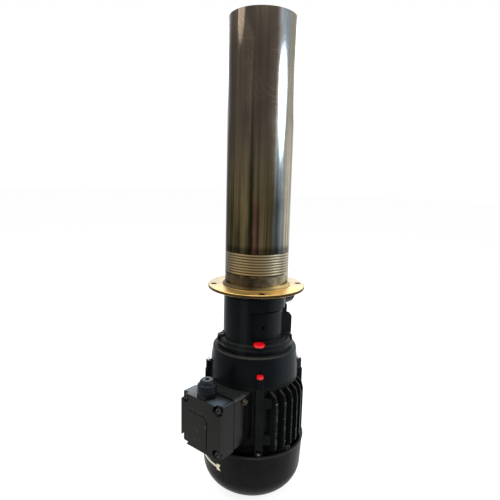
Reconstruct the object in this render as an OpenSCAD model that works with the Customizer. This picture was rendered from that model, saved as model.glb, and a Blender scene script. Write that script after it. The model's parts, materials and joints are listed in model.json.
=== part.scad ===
// Immersion pump with a flange-mounted motor, standing on its fan cover with the suction tube upwards.
// The origin is the centre of the flange face that lies on the tank, +Z runs along the tube to its mouth,
// and the terminal box faces -Y. Turns about Z are counted from -Y towards +X.

/* [Suction tube] */
// Outer radius of the polished tube
tube_r = 42.5; // [41:0.5:44]
// Wall of the tube
tube_wall = 2.5; // [2:0.1:3]
// Length of the tube above the flange face
tube_length = 337; // [330:1:420]
// Rounded ridges rolled near the foot
ridge_count = 8; // [4:1:9]
// Distance from ridge to ridge
ridge_pitch = 3.5; // [3:0.1:4]
// Height of the lowest ridge's foot above the flange
ridge_start = 18.3; // [12:0.1:30]
// Depth of the valleys between ridges
ridge_depth = 0.7; // [0.4:0.1:1]
// Height of the flange's flared collar round the tube
foot_height = 4.6; // [3:0.1:7]
// How far the collar stands out from the tube
foot_step = 3.1; // [2:0.1:4]

/* [Mounting flange] */
// Radius of the flange plate
flange_r = 65; // [63:0.5:75]
// Thickness of the flange plate
flange_t = 4; // [3:0.5:6]
// Circle of the mounting holes
hole_pcd = 115; // [110:1:118]
// Radius of a mounting hole
hole_r = 3.5; // [2.5:0.5:4.5]
// Number of mounting holes
hole_count = 4; // [3:1:8]
// Thickness of the paper seal under the flange
gasket_t = 0.8; // [0.5:0.1:1.5]

/* [Pump head] */
// Height of the cast head between flange seal and motor
head_height = 79.2; // [78:0.2:90]
// Wall of the head round the inner chambers
head_wall = 9.4; // [8.5:0.1:11]
// Depth of the recess cast into the side of the head
recess_depth = 5.9; // [3:0.1:6.5]
// Radius of the base disc that sits on the motor
base_disc_r = 52.5; // [51:0.5:54]
// Radius of the discharge boss
port_boss_r = 17.5; // [16:0.5:18]
// Distance of the discharge face from the pump axis
port_reach = 72; // [66:1:85]
// Radius of the discharge thread's core
port_r = 12.1; // [9:0.1:13]
// Depth of the discharge thread
port_thread = 18; // [12:1:22]

/* [Motor] */
// Radius of the stator laminations
stator_r = 53; // [52:0.5:54]
// Wall of the finned frame
frame_wall = 4.5; // [4:0.1:6]
// Length of the finned frame
frame_length = 91; // [88:1:120]
// Radius over the fin tips
fin_tip_r = 70; // [68:0.5:70.5]
// Thickness of a cooling fin
fin_t = 2.6; // [1.5:0.1:4]
// Distance from fin to fin
fin_pitch = 12.3; // [11.8:0.1:12.6]
// Height of the drive-side end shield
shield_height = 38; // [37:1:50]
// Height of the stator and rotor laminations over the foot of the motor frame
stack_lift = 21; // [21:1:31]
// Air gap between rotor and stator
air_gap = 0.35; // [0.3:0.05:0.6]
// Radius of the motor shaft in the rotor
rotor_shaft_r = 9; // [8.5:0.1:9.5]

/* [Fan cover] */
// Room between the frame's posts and the inside of the fan cover
cover_play = 0.8; // [0.6:0.1:2]
// Height of the fan cover
cover_height = 74.7; // [72:0.1:90]
// Radius of the flat end it stands on
cover_flat_r = 38; // [30:1:44]
// Wall of the fan cover
cover_wall = 2.2; // [1.6:0.1:3]

/* [Terminal box] */
// Width of the terminal box
box_w = 68; // [64:0.5:70]
// Height of the terminal box along the pump axis
box_h = 69; // [64:0.5:72]
// Depth of the box base
box_base_d = 22.6; // [18:0.1:28]
// Depth of the hood over it
box_hood_d = 24; // [23.5:0.1:32]
// Wall of both box parts
box_wall = 3; // [2.4:0.1:3.4]
// Key width of the cable gland
gland_key_w = 22.5; // [21:0.5:23]

/* [Pump stages] */
// Number of stages is three; height of one stage
stage_height = 34; // [32:0.5:36]
// Radius of an impeller
impeller_r = 30; // [26:0.5:32]
// Blades of an impeller
blade_count = 6; // [4:1:8]
// Radius of the shaft under the impellers
pump_shaft_r = 6; // [5.5:0.1:6.4]

/* [Hidden] */
$fn = 72;

over = 1;              // overrun of every cut
fit = 0.05;            // radial gap of pieces that are pushed together
run = 0.08;            // radial gap of a shaft in a bush
free = 0.3;            // gap between other pieces that turn past each other
lug_angle = 45;         // the four lugs, posts and mounting holes stand between the main directions

// heights along the axis, from the flange face down to the floor
head_top = -flange_t - gasket_t;
shield_top = head_top - head_height;
joint_z = shield_top - shield_height;
frame_bottom = joint_z - frame_length;
rim_lap = 0.5;
cover_rim = frame_bottom + rim_lap;
cover_bottom = cover_rim - cover_height;

// tube
tube_in_r = tube_r - tube_wall;
spigot = 5.2;
tube_bottom = head_top - spigot;
ridge_share = 0.49;    // a ridge's radius in the distance from ridge to ridge
ridge_r = ridge_share * ridge_pitch;
ring_t = 2;
ring_w = 3.2;
ring_groove = 1.2;
mouth_depth = 6;
outer_ring_z = tube_length - mouth_depth - ring_t;
strainer_t = 2;
cover_plate_t = 13;
stage_count = 3;
strainer_z = outer_ring_z - strainer_t;
suction_z = strainer_z - cover_plate_t;
stages_bottom = suction_z - stage_count * stage_height;
inner_ring_z = stages_bottom - ring_t;

// flange
hole_edge = 0.6;

// pump head
head_over = 0.9;
head_r = tube_r + head_over;
band_wall = 4.5;
band_r = tube_r + band_wall;
band_h = 6.1;
band_ends = [-148, 54];
head_rim_wall = 2.5;
head_rim_r = tube_r + head_rim_wall;
chamber_r = head_r - head_wall;
flat_side_step = 3;
flat_side_r = head_r - flat_side_step;
flat_side_ends = [56, 152];
recess_ends = [31, 131];
recess_top_share = 0.308;
recess_top = head_top - recess_top_share * head_height;
base_disc_h = 15;
recess_bottom = shield_top + base_disc_h;
base_foot_in = 2;
base_foot_h = 4.5;
base_edge_h = 1;
base_edge_z = shield_top + base_foot_h + 2 * base_edge_h;
base_ledge_w = 3.6;
base_ledge_rise = 0.7;
base_step_w = 0.8;
base_step_h = 3.6;
base_step_round = 0.9;
base_root_w = 2.5;
screw_pad_in = 1;
base_root_h = 2.4;
wet_depth = 35.2;
partition_t = 6;
port_cover = 1.2;
port_z = head_top - port_boss_r - port_cover;
thread_step = 1.1;
port_inner_r = port_r - thread_step;
leak_r = 2;
leak_angle = 55;
leak_drop = 5;
tab_w = 8;
tab_angle = 135;
tab_out = 7.7;
tab_r = tube_r + tab_out;
tab_rise = 42.5;
tab_round = 5;
tab_gap = 4;           // room over the screw under the tab
bush_r = 11;
bush_boss_r = 16;
bush_lap = 6;
bush_flange_w = 2;
screw_out = 2.2;
screw_circle_r = head_r + screw_out;
pocket_floor = 11.7;
pocket_z = shield_top + pocket_floor;
tab_top = shield_top + tab_rise;
pocket_w = 13;
pocket_r = 5.8;
pocket_h = 9;
cap_pocket_r = 8.2;
m6_r = 3;
m6_head_r = 5;
m6_head_h = 2.6;
m6_reach = 12;
m5_r = 2.5;
m5_head_r = 4.25;
m5_head_h = 3.5;
m5_reach = 12;
m4_r = 2;
m4_head_r = 3.5;
m4_head_h = 2.8;
m4_reach = 12;
screw_end = 1;         // room under the end of a screw in its hole
socket_share = 0.5;    // key socket's corner radius in a screw head's radius
socket_deep_share = 0.55;
cap_wall = 0.55;
head_cap_r = 7.2;
shield_cap_r = 4.2;

// motor
barrel_r = stator_r + frame_wall;
collar_w = 3;
collar_r = barrel_r + collar_w;
collar_h = 5;
register_w = 1.5;
register_r = stator_r + register_w;
register_h = 5;
shield_top_t = 8;
shield_round = 3;
round_step = 15;
shoulder_share = 0.8;
hub_r = 22;
bearing_r = 17.5;
bearing_bore_r = 7.5;
bearing_w = 11;
ball_r = 3;
ball_count = 8;
ball_circle_r = (bearing_r + bearing_bore_r) / 2;
race_land = 1.9;
bearing_lip = 1.2;
bearing_drop = 2;
drive_bearing_top = shield_top - shield_top_t - bearing_drop;
drive_bearing_bottom = drive_bearing_top - bearing_w;
lip_cover = 0.8;
drive_hub_bottom = drive_bearing_bottom - bearing_lip - lip_cover;
seal_r = 13;
seal_h = 6.5;
seal_sink = 0.65;
shaft_r = 7;
boss_r = 6.5;
boss_h = 6;
lug_w = 10;
lug_root = 3.5;
lug_in_r = barrel_r - lug_root;
lug_h = 13.5;
lug_round = 2.5;
lug_screw_out = 4.8;
lug_screw_r = barrel_r + lug_screw_out;
post_w = 10.4;
post_out = 10.5;
post_r = barrel_r + post_out;
lug_back = 1;
lug_r = post_r - lug_back;
post_tail = 1.6;
post_tail_out = 4.5;
post_tail_in_r = barrel_r + post_tail_out;
web_t = 3;
slot_h = 7;
cover_screw_in = 3;
cover_screw_r = post_r - cover_screw_in;
cover_screw_reach = 12;
rear_screw_land = 0.2;
rear_screw_r = register_r + m5_r + rear_screw_land;
fin_reach = 2.5;       // the outer fins stand this many pitches from the middle
fin_root = 3;
fin_foot = 0.5;
fin_foot_z = frame_bottom + fin_foot;
fin_bottom_slope = 9;
fin_heel_share = 0.7;
fin_top_slope = 12;
fin_top_drop = 9;
pad_w = 10.9;
pad_h = 11.5;
pad_in = 4.5;
pad_r = post_r - pad_in;
pad_top_drop = 15.5;
pad_foot = 13;
pad_gap = frame_length - pad_top_drop - 2 * pad_h - pad_foot;
rib_w = 2.2;
rib_in = 6.5;
rib_r = post_r - rib_in;
stack_drop = 10;       // from the joint down to the laminations
stack_top = joint_z - stack_drop;
stack_bottom = frame_bottom + stack_lift;
slot_count = 24;
slot_in = 2;
slot_deep = 11;
slot_w = 4.2;
bore_r = 30;
winding_h = 17.5;
winding_w = 14;
winding_round = 4;
rotor_r = bore_r - air_gap;
bar_count = 18;
bar_r = 2;
bar_circle_r = 26;
end_ring_h = 8;
end_ring_w = 7;
end_ring_in = 1;
cage_vanes = 8;
vane_h = 6;
fan_bearing_drop = 6;
fan_bearing_top = frame_bottom - fan_bearing_drop;
fan_bearing_bottom = fan_bearing_top - bearing_w;
washer_h = 1.2;
rear_plate_t = 6;
rear_plate_gap = 0.6;
hub_floor = 2.3;
rear_hub_bottom = fan_bearing_bottom - washer_h - hub_floor;
rear_ear_gap = 0.5;
rear_ear_r = post_tail_in_r - rear_ear_gap;
rear_ear_w = 11;

// fan and its cover
fan_shaft_r = 6;
fan_hub_r = 12;
fan_hub_h = 24;
fan_gap = 3.5;
fan_top = rear_hub_bottom - fan_gap;
fan_bottom = fan_top - fan_hub_h;
fan_in = 2.5;
fan_r = barrel_r - fan_in;
fan_plate_t = 2;
fan_blade_t = 2;
fan_blades = 8;
shaft_tail = 4;
shaft_bottom = fan_bottom - shaft_tail;
groove_share = 0.9;    // circlip groove's radius in the shaft's
clip_share = 1.5;
clip_angle = 60;
cover_r = post_r + cover_play + cover_wall;
rim_bead = 0.8;
rim_bead_h = 3.4;
rim_lip_h = 1.1;
cover_low_in = 2;
dome_rise = 38.3;
dome_run = 43.5;
dome_low_r = cover_r - cover_low_in;
dome_end = acos(1 - (dome_low_r - cover_flat_r) / dome_run);
dome_z = cover_bottom + dome_rise * sin(dome_end);
dome_steps = 12;
cover_boss_w = 9;
cover_boss_h = 11;
cover_boss_gap = 0.2;
cover_boss_in = post_tail_in_r - cover_boss_gap;
grille_slots = 24;
grille_w = 3;
grille_shares = [0.55, 0.93]; // ends of the slots, in the flat end's radius
side_slot_shares = [1.1, 1.36];
arrow_drop = 26;
arrow_z = cover_rim - arrow_drop;
arrow_t = 0.3;
arrow_gap = 0.02;
arrow_w = 3.2;
arrow_tail_w = 9;
arrow_tail_l = 8.5;
arrow_notch_share = 0.3;
arrow_head_w = 10;
arrow_head_l = 10;
arrow_ends = [-42, 2];
arrow_stem_in = [6, 4];

// terminal box
saddle_out = 0.1;
saddle_y = barrel_r + saddle_out;
saddle_in = 14;
base_seal = 0.8;
box_seal = 0.8;
base_back = saddle_y + base_seal;
base_front = base_back + box_base_d;
hood_back = base_front + box_seal;
hood_front = hood_back + box_hood_d;
box_drop = 5.5;
box_top = joint_z - box_drop;
box_mid = box_top - box_h / 2;
box_round = 5;
hood_round = 2.2;
box_screw_in = 6.2;
box_screw_x = box_w / 2 - box_screw_in;
box_screw_z = box_h / 2 - box_screw_in;
box_boss_r = 5;
box_pocket_r = 6.9;
box_pocket_d = 4.5;
box_screw_reach = 10;
box_seal_in = 1;
panel_left = 8;
panel_right = 23;
panel_foot = 1;
panel_head = 21.5;
panel_w = box_w - panel_left - panel_right;
panel_h = box_h - panel_foot - panel_head;
panel_t = 0.8;
panel_round = 8;
wire_hole_r = 10;
base_screw_shares = [0.25, 0.312];
base_screw_x = base_screw_shares[0] * box_w;
base_screw_z = base_screw_shares[1] * box_h;
board_side = 15;
board_w = box_w - 2 * board_side;
board_share = 0.377;
board_h = board_share * box_h;
board_t = 8;
stud_r = 2;
stud_share = 0.316;
stud_pitch = stud_share * board_w;
stud_row = board_h / 2;
stud_l = 12;
stud_nut_h = 3.2;
link_t = 1;
gland_y = (hood_back + hood_front) / 2;
gland_thread_r = 10;
gland_hex_h = 5;
gland_neck_h = 7;
gland_neck_r = 11;
gland_nut_share = 0.55;
gland_play = 0.5;
gland_groove = 0.5;
gland_bore_r = 6.5;
gland_nut_h = 11;
gland_dome_h = 6;
dome_side_share = 0.72;
dome_top_share = 0.8;
gland_dome_r = 9;
gland_hole_r = 2.5;
gland_ring_h = 1.2;
earth_drop = 8.5;
earth_z = box_top - earth_drop;
earth_in = 4.4;
earth_y = base_back + earth_in;
earth_head_r = 3.2;
earth_head_h = 2.4;
earth_washer_r = 4.1;
earth_washer_t = 1;
earth_reach = 6;

// stages
impeller_gap = 16;     // from a stage's floor up to the impeller's back disc
disc_t = 2;
blade_h = 8;
blade_t = 2;
blade_share = 0.8;     // radius of the band a blade is cut from, in the impeller's
blade_shift = [0.62, -0.45];
eye_r = 12.5;
neck_w = 2;
neck_h = 8.3;
impeller_hub_r = 10;
impeller_hub_h = 16;
hub_drop = 2;
casing_wall = 2.5;
casing_r = tube_in_r - fit;
casing_in_r = casing_r - casing_wall;
floor_t = 3;
port_ring_in = 4.2;
port_ring_r = casing_in_r - port_ring_in;
stage_port_r = 2.8;
stage_ports = 12;
guide_vanes = 8;
guide_vane_h = 10;
guide_vane_l = 5;
nut_h = 7;
nut_r = 10.4;
shaft_end_gap = 3;
key_w = 4;
key_deep = 2.2;
key_out = 1.6;
key_margin = 4;
spider_share = 0.36;   // place of the guide spider along the free shaft
spider_h = 12;
spider_arms = 3;
spider_arm_w = 7;
spider_ring_w = 3;
spider_hub_r = 14;
slinger_r = 15;
slinger_h = 4;
slinger_drop = 12;

stage_1_z = suction_z - stage_height;
last_stage_z = stages_bottom;
hub_z = impeller_gap - hub_drop;
shaft_step_z = last_stage_z + hub_z;
hub_top_z = stage_1_z + hub_z + impeller_hub_h;
shaft_top = hub_top_z + nut_h + shaft_end_gap;
key_z = [shaft_step_z + key_margin, hub_top_z - key_margin];
spider_z = spider_share * stages_bottom - spider_h / 2;

module ring(outer, inner, z0, z1) {
    translate([0, 0, z0]) difference() {
        cylinder(r = outer, h = z1 - z0);
        translate([0, 0, -over]) cylinder(r = inner, h = z1 - z0 + 2 * over);
    }
}

module post(r, z0, z1) {
    translate([0, 0, z0]) cylinder(r = r, h = z1 - z0);
}

// puts a piece at a turn and radius, its own -Y pointing away from the axis
module at(turn, r = 0, z = 0) {
    rotate([0, 0, turn]) translate([0, -r, z]) children();
}

module four() {
    for (k = [0:3]) at(lug_angle + 90 * k) children();
}

function on_turn(turn, r) = [r * sin(turn), -r * cos(turn)];

// wedge between two turns, for cutting or keeping part of a ring
module wedge(ends, r, z0, z1) {
    steps = 4;
    far = r / cos((ends[1] - ends[0]) / (2 * steps));
    pts = [for (k = [0:steps]) on_turn(ends[0] + (ends[1] - ends[0]) * k / steps, far)];
    translate([0, 0, z0]) linear_extrude(z1 - z0) polygon(concat([[0, 0]], pts));
}

module rounded(w, h, r) {
    square([w - 2 * r, h], center = true);
    square([w, h - 2 * r], center = true);
    for (x = [-1, 1], y = [-1, 1]) translate([x * (w / 2 - r), y * (h / 2 - r)]) circle(r = r, $fn = 32);
}

// slab of rounded outline that lies across Y, from a near to a far distance
module front_slab(w, h, r, y0, y1, z = 0) {
    translate([0, -y0, z]) rotate([90, 0, 0]) linear_extrude(y1 - y0) rounded(w, h, r);
}

// straight block that reaches outwards, from one radius to another
module out_block(w, r0, r1, z0, z1) {
    translate([-w / 2, -r1, z0]) cube([w, r1 - r0, z1 - z0]);
}

// socket head screw that stands on z = 0 and reaches down
module screw(r, reach, head_r, head_h) {
    difference() {
        union() {
            cylinder(r = head_r, h = head_h);
            translate([0, 0, -reach]) cylinder(r = r - fit / 2, h = reach);
        }
        translate([0, 0, head_h * (1 - socket_deep_share)])
            cylinder(r = head_r * socket_share, h = head_h, $fn = 6);
    }
}

// cupped plastic cap over a screw head, open below
module screw_cap(r, head_r, head_h) {
    difference() {
        cylinder(r = r, h = head_h + fit + cap_wall);
        translate([0, 0, -over]) cylinder(r = head_r + fit, h = head_h + fit + over);
    }
}

// Suction tube

module pump_tube() {
    ridge_top = ridge_start + ridge_count * ridge_pitch;
    color([0.62, 0.6, 0.57]) difference() {
        union() {
            post(tube_r, tube_bottom, ridge_start);
            post(tube_r - ridge_depth, ridge_start - over, ridge_top + over);
            post(tube_r, ridge_top, tube_length);
            for (k = [0:ridge_count - 1]) rotate_extrude()
                translate([tube_r - ridge_r, ridge_start + (k + 0.5) * ridge_pitch])
                    circle(r = ridge_r, $fn = 32);
        }
        post(tube_in_r, tube_bottom - over, tube_length + over);
        for (z = [inner_ring_z, outer_ring_z])
            ring(tube_in_r + ring_groove, tube_in_r - over, z - fit, z + ring_t + fit);
    }
}

// plate with a low collar drawn up round the tube
module mounting_flange() {
    color([0.86, 0.7, 0.42]) difference() {
        rotate_extrude() polygon([[0, -flange_t], [flange_r - hole_edge, -flange_t],
            [flange_r, hole_edge - flange_t], [flange_r, -hole_edge], [flange_r - hole_edge, 0],
            [tube_r + foot_step, 0], [tube_r + foot_step, foot_height / 4],
            [tube_r + foot_step / 2, foot_height / 2],
            [tube_r + foot_step / 5, foot_height], [0, foot_height]]);
        post(tube_r + fit, -flange_t - over, foot_height + over);
        for (k = [0:hole_count - 1]) at(lug_angle + 360 / hole_count * k, hole_pcd / 2)
            post(hole_r, -flange_t - over, over);
    }
}

module flange_gasket() {
    color([0.35, 0.35, 0.33]) ring(head_rim_r + gasket_t, tube_r + fit, head_top, head_top + gasket_t);
}

// Pump head

module pump_head() {
    color([0.1, 0.11, 0.12]) difference() {
        union() {
            difference() {
                union() {
                    post(head_r, shield_top, head_top);
                    ring(head_rim_r, chamber_r, head_top - band_h, head_top);
                    intersection() {
                        ring(band_r, chamber_r, head_top - band_h, head_top);
                        wedge(band_ends, 2 * band_r, head_top - band_h - over, head_top + over);
                    }
                }
                intersection() {
                    ring(2 * head_r, flat_side_r, recess_top, head_top - band_h);
                    wedge(flat_side_ends, 2 * head_r, recess_top - over, head_top);
                }
                intersection() {
                    ring(2 * head_r, head_r - recess_depth, recess_bottom, recess_top);
                    wedge(recess_ends, 2 * head_r, recess_bottom - over, recess_top + over);
                }
            }
            rotate_extrude() polygon([[chamber_r, shield_top], [base_disc_r - base_foot_in, shield_top],
                [base_disc_r - base_foot_in, shield_top + base_foot_h],
                [base_disc_r, base_edge_z - base_edge_h], [base_disc_r, base_edge_z],
                [base_disc_r - base_ledge_w, base_edge_z + base_ledge_rise],
                [base_disc_r - base_ledge_w - base_step_w, base_edge_z + base_ledge_rise + base_step_h],
                [base_disc_r - base_ledge_w - base_step_w - base_step_round,
                    base_edge_z + base_ledge_rise + base_step_h + base_step_round / 2],
                [head_r - recess_depth + base_foot_in + base_root_w, recess_bottom - base_root_h],
                [head_r - recess_depth + base_foot_in, recess_bottom], [chamber_r, recess_bottom]]);
            four() out_block(pocket_w - 2 * screw_pad_in, chamber_r, base_disc_r - screw_pad_in,
                base_edge_z - base_edge_h, pocket_z + over);
            at(tab_angle) difference() {
                out_block(tab_w, chamber_r, tab_r, pocket_z + over, tab_top);
                translate([-tab_w, -tab_r - over, tab_top - tab_round])
                    cube([2 * tab_w, tab_round + over, tab_round + over]);
            }
            at(tab_angle, tab_r - tab_round, tab_top - tab_round)
                translate([-tab_w / 2, 0, 0]) rotate([0, 90, 0]) cylinder(r = tab_round, h = tab_w, $fn = 32);
            translate([0, chamber_r, port_z]) rotate([-90, 0, 0])
                cylinder(r = port_boss_r, h = port_reach - chamber_r);
        }
        post(tube_r + fit, tube_bottom, head_top + over);
        difference() {
            post(chamber_r, shield_top - over, head_top + over);
            post(2 * chamber_r, head_top - wet_depth - partition_t, head_top - wet_depth);
            post(bush_boss_r, head_top - wet_depth - partition_t - bush_lap, head_top - wet_depth + bush_lap);
        }
        post(bush_r + fit, head_top - wet_depth - partition_t - bush_lap - over,
            head_top - wet_depth + bush_lap + over);
        translate([0, chamber_r - head_wall, port_z]) rotate([-90, 0, 0])
            cylinder(r = port_inner_r, h = port_reach - chamber_r);
        translate([0, port_reach - port_thread, port_z]) rotate([-90, 0, 0])
            cylinder(r = port_r, h = port_thread + over);
        at(leak_angle, 0, head_top - wet_depth - partition_t - leak_drop) translate([0, -chamber_r + over, 0])
            rotate([90, 0, 0]) cylinder(r = leak_r, h = head_wall);
        for (k = [0:3]) at(lug_angle + 90 * k) {
            high = pocket_z + (lug_angle + 90 * k == tab_angle ? tab_gap : pocket_h);
            translate([0, -screw_circle_r, 0]) post(pocket_r, pocket_z, high);
            out_block(pocket_w, screw_circle_r, 2 * base_disc_r, pocket_z, high);
            translate([0, -screw_circle_r, 0]) post(m6_r + fit, shield_top - over, pocket_z + over);
        }
        at(lug_angle, screw_circle_r) post(cap_pocket_r, pocket_z, pocket_z + pocket_h);
    }
}

module throttle_bush() {
    color([0.72, 0.55, 0.3]) difference() {
        union() {
            post(bush_r, head_top - wet_depth - partition_t - bush_lap, head_top - wet_depth + bush_lap);
            post(bush_r + bush_flange_w, head_top - wet_depth + bush_lap,
                head_top - wet_depth + bush_lap + bush_flange_w);
        }
        post(shaft_r + run, head_top - wet_depth - 2 * partition_t - bush_lap, head_top);
    }
}

module head_screws() {
    color([0.14, 0.14, 0.15]) four() translate([0, -screw_circle_r, pocket_z])
        screw(m6_r, pocket_z - shield_top + m6_reach, m6_head_r, m6_head_h);
}

module head_screw_cap() {
    color([0.85, 0.05, 0.05]) at(lug_angle, screw_circle_r, pocket_z)
        screw_cap(head_cap_r, m6_head_r, m6_head_h);
}

// Pump stages, from the suction mouth down

module suction_strainer() {
    hole = 2;
    rings = 5;
    step = 6.4;
    color([0.7, 0.7, 0.7]) difference() {
        post(casing_r, strainer_z, strainer_z + strainer_t);
        post(hole, strainer_z - over, strainer_z + strainer_t + over);
        for (n = [1:rings], k = [0:6 * n - 1]) at(360 / (6 * n) * k, n * step)
            post(hole, strainer_z - over, strainer_z + strainer_t + over);
    }
}

module suction_cover() {
    cup = cover_plate_t - floor_t;
    color([0.55, 0.56, 0.57]) difference() {
        post(casing_r, suction_z, strainer_z);
        post(casing_in_r, suction_z + floor_t, strainer_z + over);
        post(eye_r + neck_w + free, suction_z - over, strainer_z);
    }
}

module tube_retaining_rings() {
    gap_angle = 16;
    color([0.45, 0.46, 0.48]) for (z = [inner_ring_z, outer_ring_z]) difference() {
        ring(tube_in_r + ring_groove - fit, tube_in_r - ring_w, z, z + ring_t);
        wedge([180 - gap_angle / 2, 180 + gap_angle / 2], 2 * tube_r, z - over, z + ring_t + over);
    }
}

module stage_casing(z) {
    color([0.5, 0.51, 0.52]) {
        difference() {
            post(casing_r, z, z + stage_height);
            post(casing_in_r, z + floor_t, z + stage_height + over);
            post(eye_r + neck_w + free, z - over, z + floor_t + over);
            for (k = [0:stage_ports - 1]) at(360 / stage_ports * k, port_ring_r)
                post(stage_port_r, z - over, z + floor_t + over);
        }
        for (k = [0:guide_vanes - 1]) at(360 / guide_vanes * (k + 0.5), 0, 0)
            out_block(blade_t, casing_in_r - guide_vane_l, casing_in_r + fit, z + floor_t - fit,
                z + guide_vane_h);
    }
}

module stage_casing_1() { stage_casing(stage_1_z); }
module stage_casing_2() { stage_casing(stage_1_z - stage_height); }
module stage_casing_3() { stage_casing(last_stage_z); }

// curved blade between the discs, part of a round band that leans back
module blade(z) {
    band = blade_share * impeller_r;
    intersection() {
        translate([band * blade_shift[0], band * blade_shift[1], 0])
            ring(band, band - blade_t, z, z + blade_h);
        ring(impeller_r - fit, eye_r - disc_t, z, z + blade_h);
        translate([-impeller_r - over, -impeller_r - over, z])
            cube([impeller_r + over, impeller_r + over, blade_h]);
    }
}

module impeller(z) {
    back = z + impeller_gap;
    front = back + disc_t + blade_h;
    color([0.66, 0.52, 0.3]) difference() {
        union() {
            post(impeller_r, back, back + disc_t);
            ring(impeller_r, eye_r, front, front + disc_t);
            ring(eye_r + neck_w, eye_r, front, back + disc_t + blade_h + neck_h);
            post(impeller_hub_r, z + hub_z, z + hub_z + impeller_hub_h);
            for (k = [0:blade_count - 1]) at(360 / blade_count * k) blade(back + disc_t);
        }
        post(pump_shaft_r + fit, z, z + stage_height + over);
        key_cut(key_out + fit);
    }
}

module impeller_1() { impeller(stage_1_z); }
module impeller_2() { impeller(stage_1_z - stage_height); }
module impeller_3() { impeller(last_stage_z); }

// space of the long key, past the shaft's surface by the given height
module key_cut(out) {
    translate([-key_w / 2 - fit, -pump_shaft_r - out, key_z[0] - fit])
        cube([key_w + 2 * fit, out + key_deep, key_z[1] - key_z[0] + 2 * fit]);
}

module impeller_key() {
    color([0.5, 0.5, 0.52]) translate([-key_w / 2, -pump_shaft_r - key_out, key_z[0]])
        cube([key_w, key_out + key_deep - fit, key_z[1] - key_z[0]]);
}

module spacer_sleeve(z) {
    color([0.6, 0.61, 0.62]) difference() {
        ring(impeller_hub_r - fit, pump_shaft_r + fit, z + hub_z - stage_height + impeller_hub_h, z + hub_z);
        key_cut(key_out + fit);
    }
}

module spacer_sleeve_1() { spacer_sleeve(stage_1_z); }
module spacer_sleeve_2() { spacer_sleeve(stage_1_z - stage_height); }

module impeller_nut() {
    color([0.6, 0.6, 0.62]) translate([0, 0, hub_top_z]) difference() {
        cylinder(r = nut_r, h = nut_h, $fn = 6);
        translate([0, 0, -over]) cylinder(r = pump_shaft_r + fit, h = nut_h + 2 * over);
    }
}

module guide_spider() {
    color([0.5, 0.51, 0.52]) {
        ring(casing_r, casing_r - spider_ring_w, spider_z, spider_z + spider_h);
        ring(spider_hub_r, bush_r + fit, spider_z, spider_z + spider_h);
        for (k = [0:spider_arms - 1]) at(360 / spider_arms * k)
            out_block(spider_arm_w, spider_hub_r - over, casing_r - spider_ring_w + over, spider_z,
                spider_z + spider_h);
    }
}

module guide_bush() {
    color([0.72, 0.55, 0.3]) ring(bush_r, shaft_r + run, spider_z, spider_z + spider_h);
}

// Shaft

module shaft() {
    color([0.7, 0.71, 0.72]) difference() {
        union() {
            post(fan_shaft_r, shaft_bottom, rear_hub_bottom);
            post(bearing_bore_r - fit / 2, fan_top, fan_bearing_top);
            post(rotor_shaft_r, fan_bearing_top, drive_bearing_bottom);
            post(bearing_bore_r - fit / 2, drive_bearing_bottom, drive_bearing_top);
            post(shaft_r, drive_bearing_top, shaft_step_z);
            post(pump_shaft_r, shaft_step_z, shaft_top);
        }
        key_cut(key_out);
        ring(2 * fan_shaft_r, groove_share * fan_shaft_r, fan_bottom - washer_h, fan_bottom);
    }
}

module slinger_ring() {
    z = head_top - wet_depth - partition_t - bush_lap - slinger_drop;
    color([0.12, 0.12, 0.12]) ring(slinger_r, shaft_r + fit / 2, z, z + slinger_h);
}

module shaft_seal() {
    lip = 2.4;
    color([0.2, 0.13, 0.1]) difference() {
        ring(seal_r, shaft_r + run, shield_top - seal_h, shield_top - seal_sink);
        ring(seal_r - lip, shaft_r + lip, shield_top - seal_h - over, shield_top - seal_h + seal_h / 2);
    }
}

// Motor

module drive_shield() {
    color([0.12, 0.13, 0.14]) difference() {
        union() {
            difference() {
                union() {
                    rotate_extrude() polygon([[0, joint_z], [collar_r, joint_z],
                        [collar_r - collar_w / 3, joint_z + shield_height / 2],
                        [collar_r - collar_w * shoulder_share, joint_z + shield_height * shoulder_share],
                        for (t = [0:round_step:90]) [collar_r - collar_w - shield_round * (1 - cos(t)),
                            shield_top - shield_round * (1 - sin(t))],
                        [0, shield_top]]);
                    ring(register_r - fit, stator_r - register_w, joint_z - register_h, joint_z + over);
                }
                post(stator_r - fit, joint_z - register_h - over, shield_top - shield_top_t);
            }
            post(hub_r, drive_hub_bottom, shield_top - over);
            four() translate([0, -screw_circle_r, 0]) post(boss_r, shield_top - shield_top_t - boss_h,
                shield_top - over);
            four() lug();
        }
        post(bearing_r + fit, drive_hub_bottom - over, drive_bearing_top);
        ring(bearing_r + bearing_lip, bearing_r - over, drive_bearing_bottom - bearing_lip,
            drive_bearing_bottom);
        post(seal_r + fit, shield_top - seal_h, shield_top + over);
        post(rotor_shaft_r + free, drive_bearing_top - over, shield_top);
        four() translate([0, -screw_circle_r, 0]) post(m6_r, shield_top - m6_reach - over, shield_top + over);
        four() translate([0, -lug_screw_r, 0]) {
            post(m4_r + fit, joint_z - over, joint_z + lug_h + over);
            post(shield_cap_r + free, joint_z + lug_h, shield_top + over);
        }
    }
}

// cast ear of the end shield over a post of the frame
module lug() {
    mid = (lug_r + lug_in_r) / 2;
    translate([0, -mid, joint_z]) linear_extrude(lug_h) rounded(lug_w, lug_r - lug_in_r, lug_round);
    out_block(lug_w, lug_in_r, mid, joint_z, joint_z + lug_h);
}

module shield_screws() {
    color([0.6, 0.61, 0.63]) four() translate([0, -lug_screw_r, joint_z + lug_h])
        screw(m4_r, lug_h + m4_reach, m4_head_r, m4_head_h);
}

module shield_screw_cap() {
    color([0.85, 0.05, 0.05]) at(lug_angle, lug_screw_r, joint_z + lug_h)
        screw_cap(shield_cap_r, m4_head_r, m4_head_h);
}

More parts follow.
